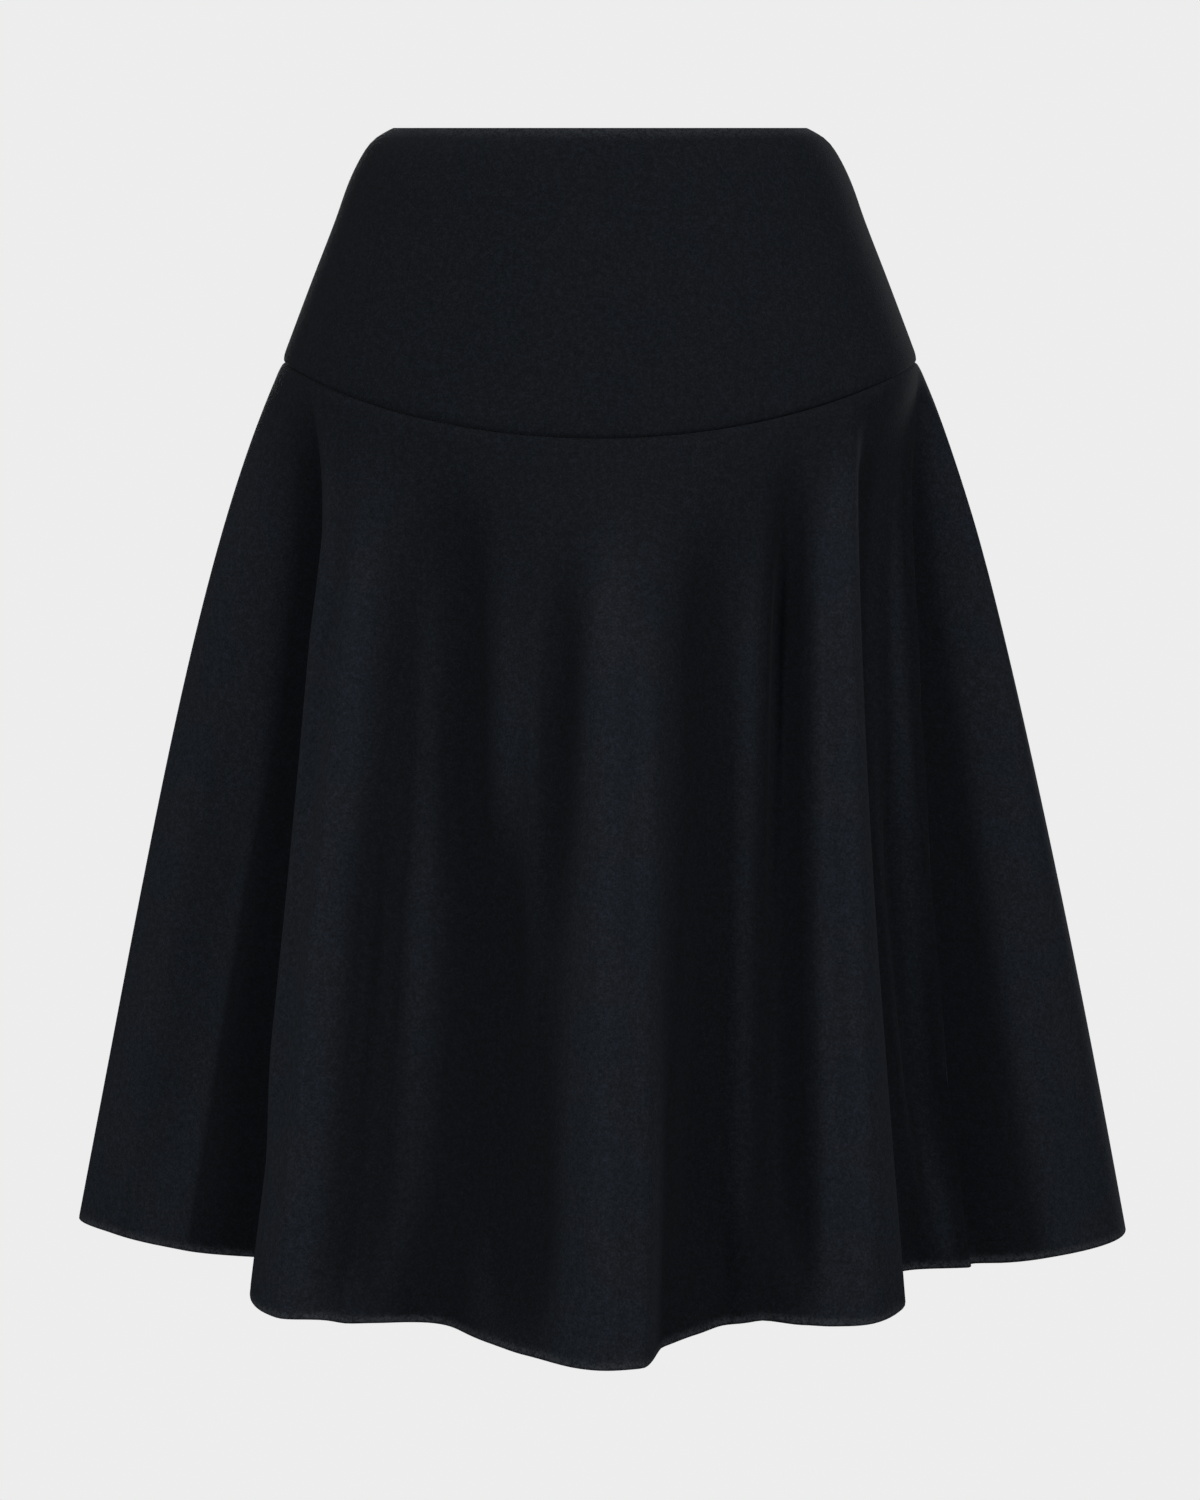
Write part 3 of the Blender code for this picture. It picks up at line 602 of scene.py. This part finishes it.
def flare_sheet(name, node_name, start, stop, finish):
    """One panel of the flared skirt: turned in at its seams, and cut clean at the hem."""
    trim = SEAM_SPACE / 2.0 / HALF_SEAM
    length = (stop - start) * HALF_HEM
    shares = edge_crowded(length, FLARE_STEP_ACROSS)
    even = np.linspace(start + trim, stop - trim, TRACE_STEPS + 1)
    travelled = lengths_along(flare_point(even, np.zeros_like(even)))
    travelled = travelled + lengths_along(flare_point(even, np.ones_like(even)))
    ways = np.interp(shares * travelled[-1], travelled, even)
    downs = edge_crowded(FLARE_DROP, FLARE_STEP_DOWN)

    def outer_depth(way, down):
        width = HALF_SEAM + (HALF_HEM - HALF_SEAM) * down
        aside = np.minimum(way - ways[0], ways[-1] - way) * width
        above = down * FLARE_DROP
        at_seam = np.maximum(turned(aside, SEAM_ROUND), turned(above, SEAM_ROUND))
        return np.maximum(at_seam, turned((1.0 - down) * FLARE_DROP, CUT_ROUND)) + sunk(above)

    def inner_depth(way, down):
        return CLOTH - turned((1.0 - down) * FLARE_DROP, CUT_ROUND) + sunk(down * FLARE_DROP)

    # Lighter line along the hem, partly its cut fibres and partly painted highlight, starting a little above
    # the cut
    def edge(down):
        above = (1.0 - down) * FLARE_DROP
        return smooth_step(above / HEM_SHADE) * (1.0 - smooth_step((above - HEM_SHADE) / HEM_EDGE))

    sheet = cloth_sheet(name, flare_point, ways, downs, outer_depth, inner_depth, finish, edge)
    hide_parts(node_name)
    return sheet


# Sewing inside the skirt

def thread_tube(name, places, outwards, finish, radius=THREAD_RADIUS):
    """A closed round thread along a row of places, given which way is straight out at each."""
    tube = bmesh.new()
    count = len(places)
    laid = bmesh.ops.create_grid(tube, x_segments=count - 1, y_segments=THREAD_SIDES, size=0.5)
    along = np.gradient(places, axis=0)
    along /= np.linalg.norm(along, axis=1, keepdims=True)
    across = np.cross(along, outwards)
    across /= np.linalg.norm(across, axis=1, keepdims=True)
    upward = np.cross(across, along)
    thick = np.full(count, radius)
    thick[0] = radius * THREAD_END
    thick[-1] = radius * THREAD_END
    for corner in laid["verts"]:
        row = round((corner.co.x + 0.5) * (count - 1))
        angle = (corner.co.y + 0.5) * 2.0 * math.pi
        round_it = across[row] * math.cos(angle) + upward[row] * math.sin(angle)
        corner.co = places[row] + round_it * thick[row]
    bmesh.ops.remove_doubles(tube, verts=tube.verts[:], dist=WELD_DISTANCE)
    ends = [edge for edge in tube.edges if edge.is_boundary]
    bmesh.ops.holes_fill(tube, edges=ends, sides=THREAD_SIDES)
    bmesh.ops.recalc_face_normals(tube, faces=tube.faces[:])
    return finished_piece(name, tube, finish)


def overlock(name, surface, ways, downs, thread):
    """Overlock thread that zigzags over an allowance's raw edge, along a row of ways and downs.
    Ways and downs are functions of the share along the edge and of the share across the zigzag."""
    trace = np.linspace(0.0, 1.0, OVERLOCK_TRACE_STEPS + 1)
    length = lengths_along(surface(*np.broadcast_arrays(ways(trace, 0.0), downs(trace, 0.0))))[-1]
    count = 2 * round(length / OVERLOCK_PITCH) + 1
    share = np.linspace(0.0, 1.0, count)
    swing = np.where(np.arange(count) % 2 == 0, 1.0, OVERLOCK_INNER_SWING)
    way, down = np.broadcast_arrays(ways(share, swing), downs(share, swing))
    straight = facing(surface, way, down)
    depth = CLOTH + ALLOWANCE_SPACE + ALLOWANCE_THICK + THREAD_RADIUS * THREAD_LIFT
    places = surface(way, down) - straight * depth
    return thread_tube(name, places, -straight, thread)


def allowance_face(depth):
    return lambda way, down: np.full_like(down, depth)


def allowance(name, surface, ways, downs, finish):
    """One seam allowance, pressed flat against the inside of its panel."""
    near = CLOTH + ALLOWANCE_SPACE
    outer = allowance_face(near)
    inner = allowance_face(near + ALLOWANCE_THICK)
    return cloth_sheet(name, surface, ways, downs, outer, inner, finish)


def upright_allowance(name, surface, seam_way, side, start, stop, length, width, finish, thread):
    """An allowance beside an upright seam, and its overlock. Side is 1 for the side where ways grow, whose
    allowance laps the seam a little, so that no light shows through it."""
    near = seam_way - (SEAM_LAP if side > 0.0 else SEAM_TURN) / width
    far = seam_way + side * ALLOWANCE / width
    ways = np.linspace(min(near, far), max(near, far), ALLOWANCE_COLUMNS + 1)
    rows = max(ALLOWANCE_FEWEST_ROWS, round((stop - start) * length / FLARE_STEP_DOWN))
    downs = np.linspace(start, stop, rows + 1)
    strip = allowance(name, surface, ways, downs, finish)
    back = side * OVERLOCK_WIDE / width
    zigzag = overlock(
        f"{name}_overlock",
        surface,
        lambda share, swing: far - back * (1.0 - swing),
        lambda share, swing: start + (stop - start) * share,
        thread,
    )
    return [strip, zigzag]


def level_allowance(name, surface, first, last, seam_down, side, drop, finish, thread):
    """An allowance along the yoke seam, and its overlock. Side is 1 below the seam and -1 above it."""
    near = seam_down + side * SEAM_TURN / drop
    far = seam_down + side * ALLOWANCE / drop
    ways = np.linspace(first, last, round((last - first) * HALF_SEAM / FLARE_STEP_ACROSS) + 1)
    downs = np.linspace(min(near, far), max(near, far), ALLOWANCE_COLUMNS + 1)
    strip = allowance(name, surface, ways, downs, finish)
    back = side * OVERLOCK_WIDE / drop
    zigzag = overlock(
        f"{name}_overlock",
        surface,
        lambda share, swing: first + (last - first) * share,
        lambda share, swing: far - back * (1.0 - swing),
        thread,
    )
    return [strip, zigzag]


# Zip

def behind_seam(aside, height, depth):
    """Points beside the centre back seam, under the cloth by a depth, and straight out of it there."""
    seam = float(seam_height(np.array(math.pi)))
    on_yoke = np.clip(height / seam, 0.0, 1.0)
    on_flare = np.clip((seam - height) / (seam - HEM_HEIGHT), 0.0, 1.0)
    points = []
    outwards = []
    for surface, down in ((yoke_point, on_yoke), (flare_point, on_flare)):
        middle = np.full_like(down, CENTRE_BACK)
        stepped = surface(middle + FACING_STEP, down) - surface(middle, down)
        per_way = np.linalg.norm(stepped, axis=-1) / FACING_STEP
        way = middle + aside / per_way
        straight = facing(surface, way, down)
        points.append(surface(way, down) - straight * depth[..., None])
        outwards.append(straight)
    above = (height > seam)[..., None]
    return np.where(above, points[0], points[1]), np.where(above, outwards[0], outwards[1])


def zip_tape(name, node_name, side, finish):
    """One woven tape, from edge to edge beside the seam, following the cloth's inner face."""
    tape = bmesh.new()
    laid = bmesh.ops.create_grid(tape, x_segments=TAPE_COLUMNS, y_segments=TAPE_ROWS, size=0.5)
    raised = bmesh.ops.extrude_face_region(tape, geom=tape.faces[:])
    near_corners = [item for item in raised["geom"] if isinstance(item, bmesh.types.BMVert)]
    near = CLOTH + TAPE_CLEARANCE
    for corners, depth in ((near_corners, near), (laid["verts"], near + TAPE_THICK)):
        flat = np.array([tuple(corner.co) for corner in corners])
        edges = (TAPE_INNER_EDGE, TAPE_OUTER_EDGE) if side > 0.0 else (-TAPE_OUTER_EDGE, -TAPE_INNER_EDGE)
        aside = edges[0] + (edges[1] - edges[0]) * (flat[:, 0] + 0.5)
        height = TAPE_TOP + (TAPE_BOTTOM - TAPE_TOP) * (0.5 - flat[:, 1])
        places, _ = behind_seam(aside, height, np.full_like(height, depth))
        for corner, place in zip(corners, places):
            corner.co = place
    piece = finished_piece(name, tape, finish)
    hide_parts(node_name)
    return piece


def zip_coil(name, side, finish):
    """The nylon coil on one tape's inner edge, whose turns interlock with the other tape's."""
    turns = round((COIL_TOP - COIL_BOTTOM) / COIL_PITCH)
    angle = np.linspace(0.0, turns * 2.0 * math.pi, turns * COIL_STEPS + 1)
    shift = 0.0 if side > 0.0 else COIL_PITCH / 2.0
    height = COIL_TOP - shift - angle / (2.0 * math.pi) * COIL_PITCH
    aside = side * (COIL_ASIDE + COIL_HALF_WIDE * np.cos(angle))
    middle = CLOTH + TAPE_CLEARANCE + TAPE_THICK + COIL_HALF_THICK + COIL_WIRE
    depth = middle + COIL_HALF_THICK * np.sin(angle)
    places, _ = behind_seam(aside, height, depth)
    centres, _ = behind_seam(np.full_like(aside, side * COIL_ASIDE), height, np.full_like(depth, middle))
    away = places - centres
    away /= np.linalg.norm(away, axis=1, keepdims=True)
    return thread_tube(name, places, away, finish, COIL_WIRE)


def tape_stitches(name, aside, thread):
    """A row of lockstitches along a tape, dipping into it at each needle hole."""
    first = TAPE_TOP - STITCH_START
    last = TAPE_BOTTOM + STITCH_START
    count = round((first - last) / STITCH_LENGTH)
    share = np.linspace(0.0, 1.0, count * STITCH_STEPS + 1)
    height = first + (last - first) * share
    rise = np.abs(np.sin(np.arange(len(share)) * math.pi / STITCH_STEPS))
    face = CLOTH + TAPE_CLEARANCE + TAPE_THICK
    depth = face - THREAD_RADIUS + 2.0 * THREAD_RADIUS * rise
    places, outwards = behind_seam(np.full_like(height, aside), height, depth)
    return thread_tube(name, places, -outwards, thread)


# Materials

def new_material(name):
    """A material, its node tree, its shader, and the place on an object that its patterns follow."""
    made = bpy.data.materials.new(name)
    made.use_nodes = True
    tree = made.node_tree
    place = node(tree, "ShaderNodeTexCoord").outputs["Object"]
    return made, tree, tree.nodes["Principled BSDF"], place


def set_inputs(shader, values):
    """Sets a shader's inputs from their names and values."""
    for name, value in values.items():
        shader.inputs[name].default_value = value


def noise(tree, place, size, detail, roughness=0.5):
    """Noise with patches of about a size."""
    made = node(tree, "ShaderNodeTexNoise", {"Vector": place}, scale=1.0 / size, detail=detail)
    made.inputs["Roughness"].default_value = roughness
    return made.outputs["Fac"]


def colour_ramp(tree, value, stops):
    """Colours along a value, from a list of positions and hex codes."""
    made = node(tree, "ShaderNodeValToRGB", {"Fac": value})
    elements = made.color_ramp.elements
    for element, (position, code) in zip((elements[0], elements[1]), (stops[0], stops[-1])):
        element.position = position
        element.color = srgb(code)
    for position, code in stops[1:-1]:
        elements.new(position).color = srgb(code)
    return made.outputs["Color"]


def mixed_colour(tree, first, second, share, blend="MIX"):
    """One colour over another. Second and share may each be a fixed value or another node's output."""
    mixer = node(tree, "ShaderNodeMix", data_type="RGBA", blend_type=blend)
    factor, below, above = (mixer.inputs[place] for place in (0, 6, 7))
    for socket, value in ((factor, share), (below, first), (above, second)):
        if isinstance(value, bpy.types.NodeSocket):
            tree.links.new(value, socket)
        else:
            socket.default_value = value
    return mixer.outputs[2]


def add_bump(tree, shader, value, strength, distance):
    """Makes a shader's surface rise and fall with a value."""
    bump = node(tree, "ShaderNodeBump", {"Height": value}, strength=strength, distance=distance)
    tree.links.new(bump.outputs["Normal"], shader.inputs["Normal"])


def felted_wool():
    """Boiled and felted wool, near-black navy: its fibres are matted, so no weave shows, only a mottled nap
    with a faint bloom of fuzz. The folds' crests carry painted highlight and their valleys painted shade. A
    lighter line runs along the hem, partly its cut fibres and partly painted highlight, and a painted
    highlight runs along the waist edge."""
    made, tree, shader, place = new_material("felted_wool")
    nap = noise(tree, place, NAP_SIZE, 3.0, 0.6)
    clumps = noise(tree, place, CLUMP_SIZE, 2.0)
    dye = noise(tree, place, DYE_PATCH_SIZE, 1.0)
    pile = node(tree, "ShaderNodeMix", {"A": nap, "B": clumps}, data_type="FLOAT", factor=CLUMP_SHARE)
    pile = pile.outputs["Result"]
    shade = colour_ramp(tree, pile, ((0.34, "#0F1216"), (0.5, "#171A1F"), (0.66, "#20242B")))
    cool = colour_ramp(tree, dye, ((0.4, "#F4FAFF"), (0.6, "#FFFAFC")))
    dyed = mixed_colour(tree, shade, cool, 1.0, "MULTIPLY")
    # Painted highlight on the folds' crests and painted shade in their valleys: the colour is scaled up or
    # down by it
    relief_shade = node(tree, "ShaderNodeAttribute", attribute_name="relief_shade").outputs["Fac"]
    shade_scale = node(tree, "ShaderNodeMath", {0: relief_shade}, operation="MULTIPLY_ADD")
    shade_scale.inputs[1].default_value = RELIEF_SHADE_SHARE
    shade_scale.inputs[2].default_value = 1.0
    scaling = {0: dyed, "Scale": shade_scale.outputs["Value"]}
    relief_shaded = node(tree, "ShaderNodeVectorMath", scaling, operation="SCALE")
    # Lighter near the edges, broken up by the nap: at the hem partly cut fibres and partly painted
    # highlight, at the waist painted highlight
    edge = node(tree, "ShaderNodeAttribute", attribute_name="edge").outputs["Fac"]
    patchy_edge = node(tree, "ShaderNodeMapRange", {"Value": pile}, from_min=0.42, from_max=0.58, to_min=0.2)
    cut_fibres_and_highlight = node(tree, "ShaderNodeMath", {0: edge, 1: patchy_edge.outputs["Result"]}, operation="MULTIPLY")
    cut = mixed_colour(tree, relief_shaded.outputs["Vector"], srgb("#3A3D42"), cut_fibres_and_highlight.outputs["Value"])
    shade_highlight_and_roughness = node(tree, "ShaderNodeMapRange", {"Value": clumps}, to_min=0.9, to_max=1.0)
    tree.links.new(cut, shader.inputs["Base Color"])
    tree.links.new(shade_highlight_and_roughness.outputs["Result"], shader.inputs["Roughness"])
    add_bump(tree, shader, pile, 0.6, NAP_HEIGHT)
    set_inputs(shader, {"Specular IOR Level": 0.15, "Sheen Weight": 0.04, "Sheen Roughness": 0.45})
    set_inputs(shader, {"Sheen Tint": srgb("#AEB6C2")})
    return made


def woven_tape():
    """Plain-woven polyester tape, dyed near-black: fine upright ribs crossed by the weft."""
    made, tree, shader, place = new_material("zip_tape")
    ribs, weft = (
        node(tree, "ShaderNodeTexWave", {"Vector": place}, bands_direction=way, scale=WAVE_LENGTH / pitch)
        for way, pitch in (("X", RIB_PITCH), ("Z", WEFT_PITCH))
    )
    crossing = {0: ribs.outputs["Fac"], 1: weft.outputs["Fac"]}
    weave = node(tree, "ShaderNodeMath", crossing, operation="MULTIPLY").outputs["Value"]
    shade = colour_ramp(tree, weave, ((0.0, "#0B0D10"), (1.0, "#1F2329")))
    tree.links.new(shade, shader.inputs["Base Color"])
    add_bump(tree, shader, weave, 0.6, WEAVE_HEIGHT)
    set_inputs(shader, {"Roughness": 0.7, "Specular IOR Level": 0.3})
    return made


def sewing_thread():
    """Spun polyester thread, near-black: a faint twist that catches a little light."""
    made, tree, shader, place = new_material("sewing_thread")
    twist = noise(tree, place, TWIST_SIZE, 2.0)
    shade = colour_ramp(tree, twist, ((0.35, "#14171C"), (0.65, "#2A2F37")))
    tree.links.new(shade, shader.inputs["Base Color"])
    set_inputs(shader, {"Roughness": 0.6})
    return made


def nylon_coil():
    """Nylon monofilament, dyed in the mass: smooth, slightly glossy, barely mottled."""
    made, tree, shader, place = new_material("nylon_coil")
    mottle = noise(tree, place, MOTTLE_SIZE, 1.0)
    shade = colour_ramp(tree, mottle, ((0.0, "#101216"), (1.0, "#1B1E23")))
    tree.links.new(shade, shader.inputs["Base Color"])
    set_inputs(shader, {"Roughness": 0.35})
    return made


def painted_zinc():
    """Die-cast zinc under near-black paint: satin, with slight orange peel and small scuffs to the metal."""
    made, tree, shader, place = new_material("painted_zinc")
    scuffs = noise(tree, place, SCUFF_SIZE, 5.0, 0.7)
    peel = noise(tree, place, PEEL_SIZE, 1.0)
    shade = colour_ramp(tree, scuffs, ((0.66, "#16191E"), (0.74, "#6C7076")))
    satin = node(tree, "ShaderNodeMapRange", {"Value": scuffs}, to_min=0.28, to_max=0.5)
    tree.links.new(shade, shader.inputs["Base Color"])
    tree.links.new(satin.outputs["Result"], shader.inputs["Roughness"])
    add_bump(tree, shader, peel, 0.2, PEEL_HEIGHT)
    set_inputs(shader, {"Metallic": 0.3})
    return made


def studio_paper():
    """Matt pale grey paper, evenly bright."""
    made = bpy.data.materials.new("studio_paper")
    made.use_nodes = True
    shader = made.node_tree.nodes["Principled BSDF"]
    set_inputs(shader, {"Base Color": srgb("#000000"), "Roughness": 1.0, "Specular IOR Level": 0.0})
    set_inputs(shader, {"Emission Color": srgb(STUDIO_GREY), "Emission Strength": 1.0})
    return made


# Studio

def studio():
    """A dome of paper around the skirt, closed by a floor below it."""
    shape = bmesh.new()
    bmesh.ops.create_uvsphere(shape, u_segments=64, v_segments=32, radius=BACKDROP_RADIUS)
    bmesh.ops.bisect_plane(
        shape,
        geom=shape.verts[:] + shape.edges[:] + shape.faces[:],
        plane_co=(0.0, 0.0, FLOOR_HEIGHT),
        plane_no=(0.0, 0.0, 1.0),
        clear_inner=True,
    )
    bmesh.ops.holes_fill(shape, edges=[edge for edge in shape.edges if edge.is_boundary])
    bmesh.ops.reverse_faces(shape, faces=shape.faces[:])
    mesh = bpy.data.meshes.new("backdrop")
    shape.to_mesh(mesh)
    shape.free()
    mesh.materials.append(studio_paper())
    mesh.shade_smooth()
    backdrop = bpy.data.objects.new("backdrop", mesh)
    bpy.context.collection.objects.link(backdrop)
    backdrop.visible_diffuse = False
    backdrop.visible_glossy = False
    backdrop.visible_shadow = False


def softbox(name, bearing, height_angle, power):
    """A round soft light around the skirt, at a bearing from the centre front and an angle above it."""
    light = bpy.data.lights.new(name, "AREA")
    light.shape = "DISK"
    light.size = SOFTBOX_SIZE
    light.energy = power
    lamp = bpy.data.objects.new(name, light)
    bearing = math.radians(bearing)
    height_angle = math.radians(height_angle)
    level = math.cos(height_angle)
    towards = Vector((math.sin(bearing) * level, -math.cos(bearing) * level, math.sin(height_angle)))
    lamp.location = SKIRT_MIDDLE + towards * SOFTBOX_DISTANCE
    lamp.rotation_euler = towards.to_track_quat("Z", "Y").to_euler()
    lamp.visible_camera = False
    bpy.context.collection.objects.link(lamp)


def lights():
    softbox("front_right_softbox", -38.0, 8.0, 27.0)
    softbox("front_left_softbox", 18.0, 8.0, 21.0)
    softbox("high_left_softbox", 56.0, 45.0, 37.0)
    softbox("back_left_softbox", 145.0, 8.0, 20.0)
    softbox("back_right_softbox", -160.0, 8.0, 18.0)
    softbox("high_back_right_softbox", -115.0, 45.0, 12.0)
    softbox("low_right_softbox", -62.0, -6.0, 9.0)
    world = bpy.context.scene.world or bpy.data.worlds.new("studio")
    bpy.context.scene.world = world
    world.use_nodes = True
    glow = {"Color": srgb(STUDIO_GREY), "Strength": STUDIO_GLOW}
    set_inputs(world.node_tree.nodes["Background"], glow)


def camera():
    lens = bpy.data.cameras.new("camera")
    lens.lens = CAMERA_LENS
    lens.sensor_width = CAMERA_SENSOR
    lens.sensor_fit = "AUTO"
    eye = bpy.data.objects.new("camera", lens)
    eye.location = CAMERA_PLACE
    eye.rotation_euler = (math.pi / 2.0 - CAMERA_TILT, 0.0, 0.0)
    bpy.context.collection.objects.link(eye)
    bpy.context.scene.camera = eye


# Panels: the nodes of each one's yoke and flare, and the ways around the skirt where it starts and stops
Panel = namedtuple("Panel", "yoke flare start stop")
PANELS = {
    "front": Panel("front_yoke", "front_skirt", RIGHT_SIDE, LEFT_SIDE),
    "back_left": Panel("back_yoke_left", "back_skirt_left", LEFT_SIDE, CENTRE_BACK),
    "back_right": Panel("back_yoke_right", "back_skirt_right", CENTRE_BACK, FULL_TURN),
}

# What each piece was cut to before it was sewn: the box around its pattern, and the pattern's own area
Cut = namedtuple("Cut", "width length area")


def inside_sewing(wool, thread):
    """Every panel's allowances with their overlock, on its yoke and on its flare."""
    clear_of_zip = (TAPE_OUTER_EDGE + TAPE_TO_ALLOWANCE) / HALF_SEAM
    turn_in = SEAM_TURN / HALF_SEAM
    on_yoke = {}
    on_flare = {}
    for key, panel in PANELS.items():
        first = panel.start + (clear_of_zip if panel.start == CENTRE_BACK else turn_in)
        last = panel.stop - (clear_of_zip if panel.stop == CENTRE_BACK else turn_in)
        above = (f"{key}_yoke_allowance", yoke_point, first, last, 1.0, -1.0, YOKE_DROP)
        below = (f"{key}_flare_allowance", flare_point, first, last, 0.0, 1.0, FLARE_DROP)
        on_yoke[key] = level_allowance(*above, wool, thread)
        on_flare[key] = level_allowance(*below, wool, thread)
    yoke_part = (YOKE_ALLOWANCE_START, YOKE_ALLOWANCE_END, YOKE_DROP, HALF_WAIST)
    flare_part = (SIDE_ALLOWANCE_START, FLARE_ALLOWANCE_END, FLARE_DROP, HALF_HEM)
    centre_part = (CENTRE_ALLOWANCE_START, FLARE_ALLOWANCE_END, FLARE_DROP, HALF_HEM)
    sides = (
        ("front", "right_side_front", RIGHT_SIDE, 1.0),
        ("front", "left_side_front", LEFT_SIDE, -1.0),
        ("back_left", "left_side_back", LEFT_SIDE, 1.0),
        ("back_right", "right_side_back", FULL_TURN, -1.0),
    )
    for key, name, seam_way, side in sides:
        upper = (f"{name}_yoke_allowance", yoke_point, seam_way, side, *yoke_part)
        lower = (f"{name}_flare_allowance", flare_point, seam_way, side, *flare_part)
        on_yoke[key] += upright_allowance(*upper, wool, thread)
        on_flare[key] += upright_allowance(*lower, wool, thread)
    for key, side in (("back_left", -1.0), ("back_right", 1.0)):
        centre = (f"{key}_centre_allowance", flare_point, CENTRE_BACK, side, *centre_part)
        on_flare[key] += upright_allowance(*centre, wool, thread)
    return on_yoke, on_flare


def build_skirt(thread):
    wool = felted_wool()
    yokes = {}
    for key, panel in PANELS.items():
        yokes[key] = yoke_sheet(f"{panel.yoke}_cloth", panel.yoke, panel.start, panel.stop, wool)
    for key, panel in PANELS.items():
        flare_sheet(f"{panel.flare}_cloth", panel.flare, panel.start, panel.stop, wool)
    on_yoke, on_flare = inside_sewing(wool, thread)
    return yokes


def build_zip(yokes, thread):
    tape = woven_tape()
    coil = nylon_coil()
    for key, side in (("left", -1.0), ("right", 1.0)):
        woven = zip_tape(f"zip_tape_{key}_woven", f"zip_tape_{key}", side, tape)
        on_tape = [zip_coil(f"zip_coil_{key}", side, coil)]
        for row, aside in enumerate(STITCHES_ASIDE):
            on_tape.append(tape_stitches(f"zip_tape_{key}_stitches_{row + 1}", side * aside, thread))
    zinc = painted_zinc()
    for name in ("zip_slider", "zip_pull"):
        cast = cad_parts[name].data
        cast.materials.clear()
        cast.materials.append(zinc)


sewing = sewing_thread()
build_zip(build_skirt(sewing), sewing)
studio()
lights()
camera()
bpy.context.scene.view_settings.view_transform = "Standard"
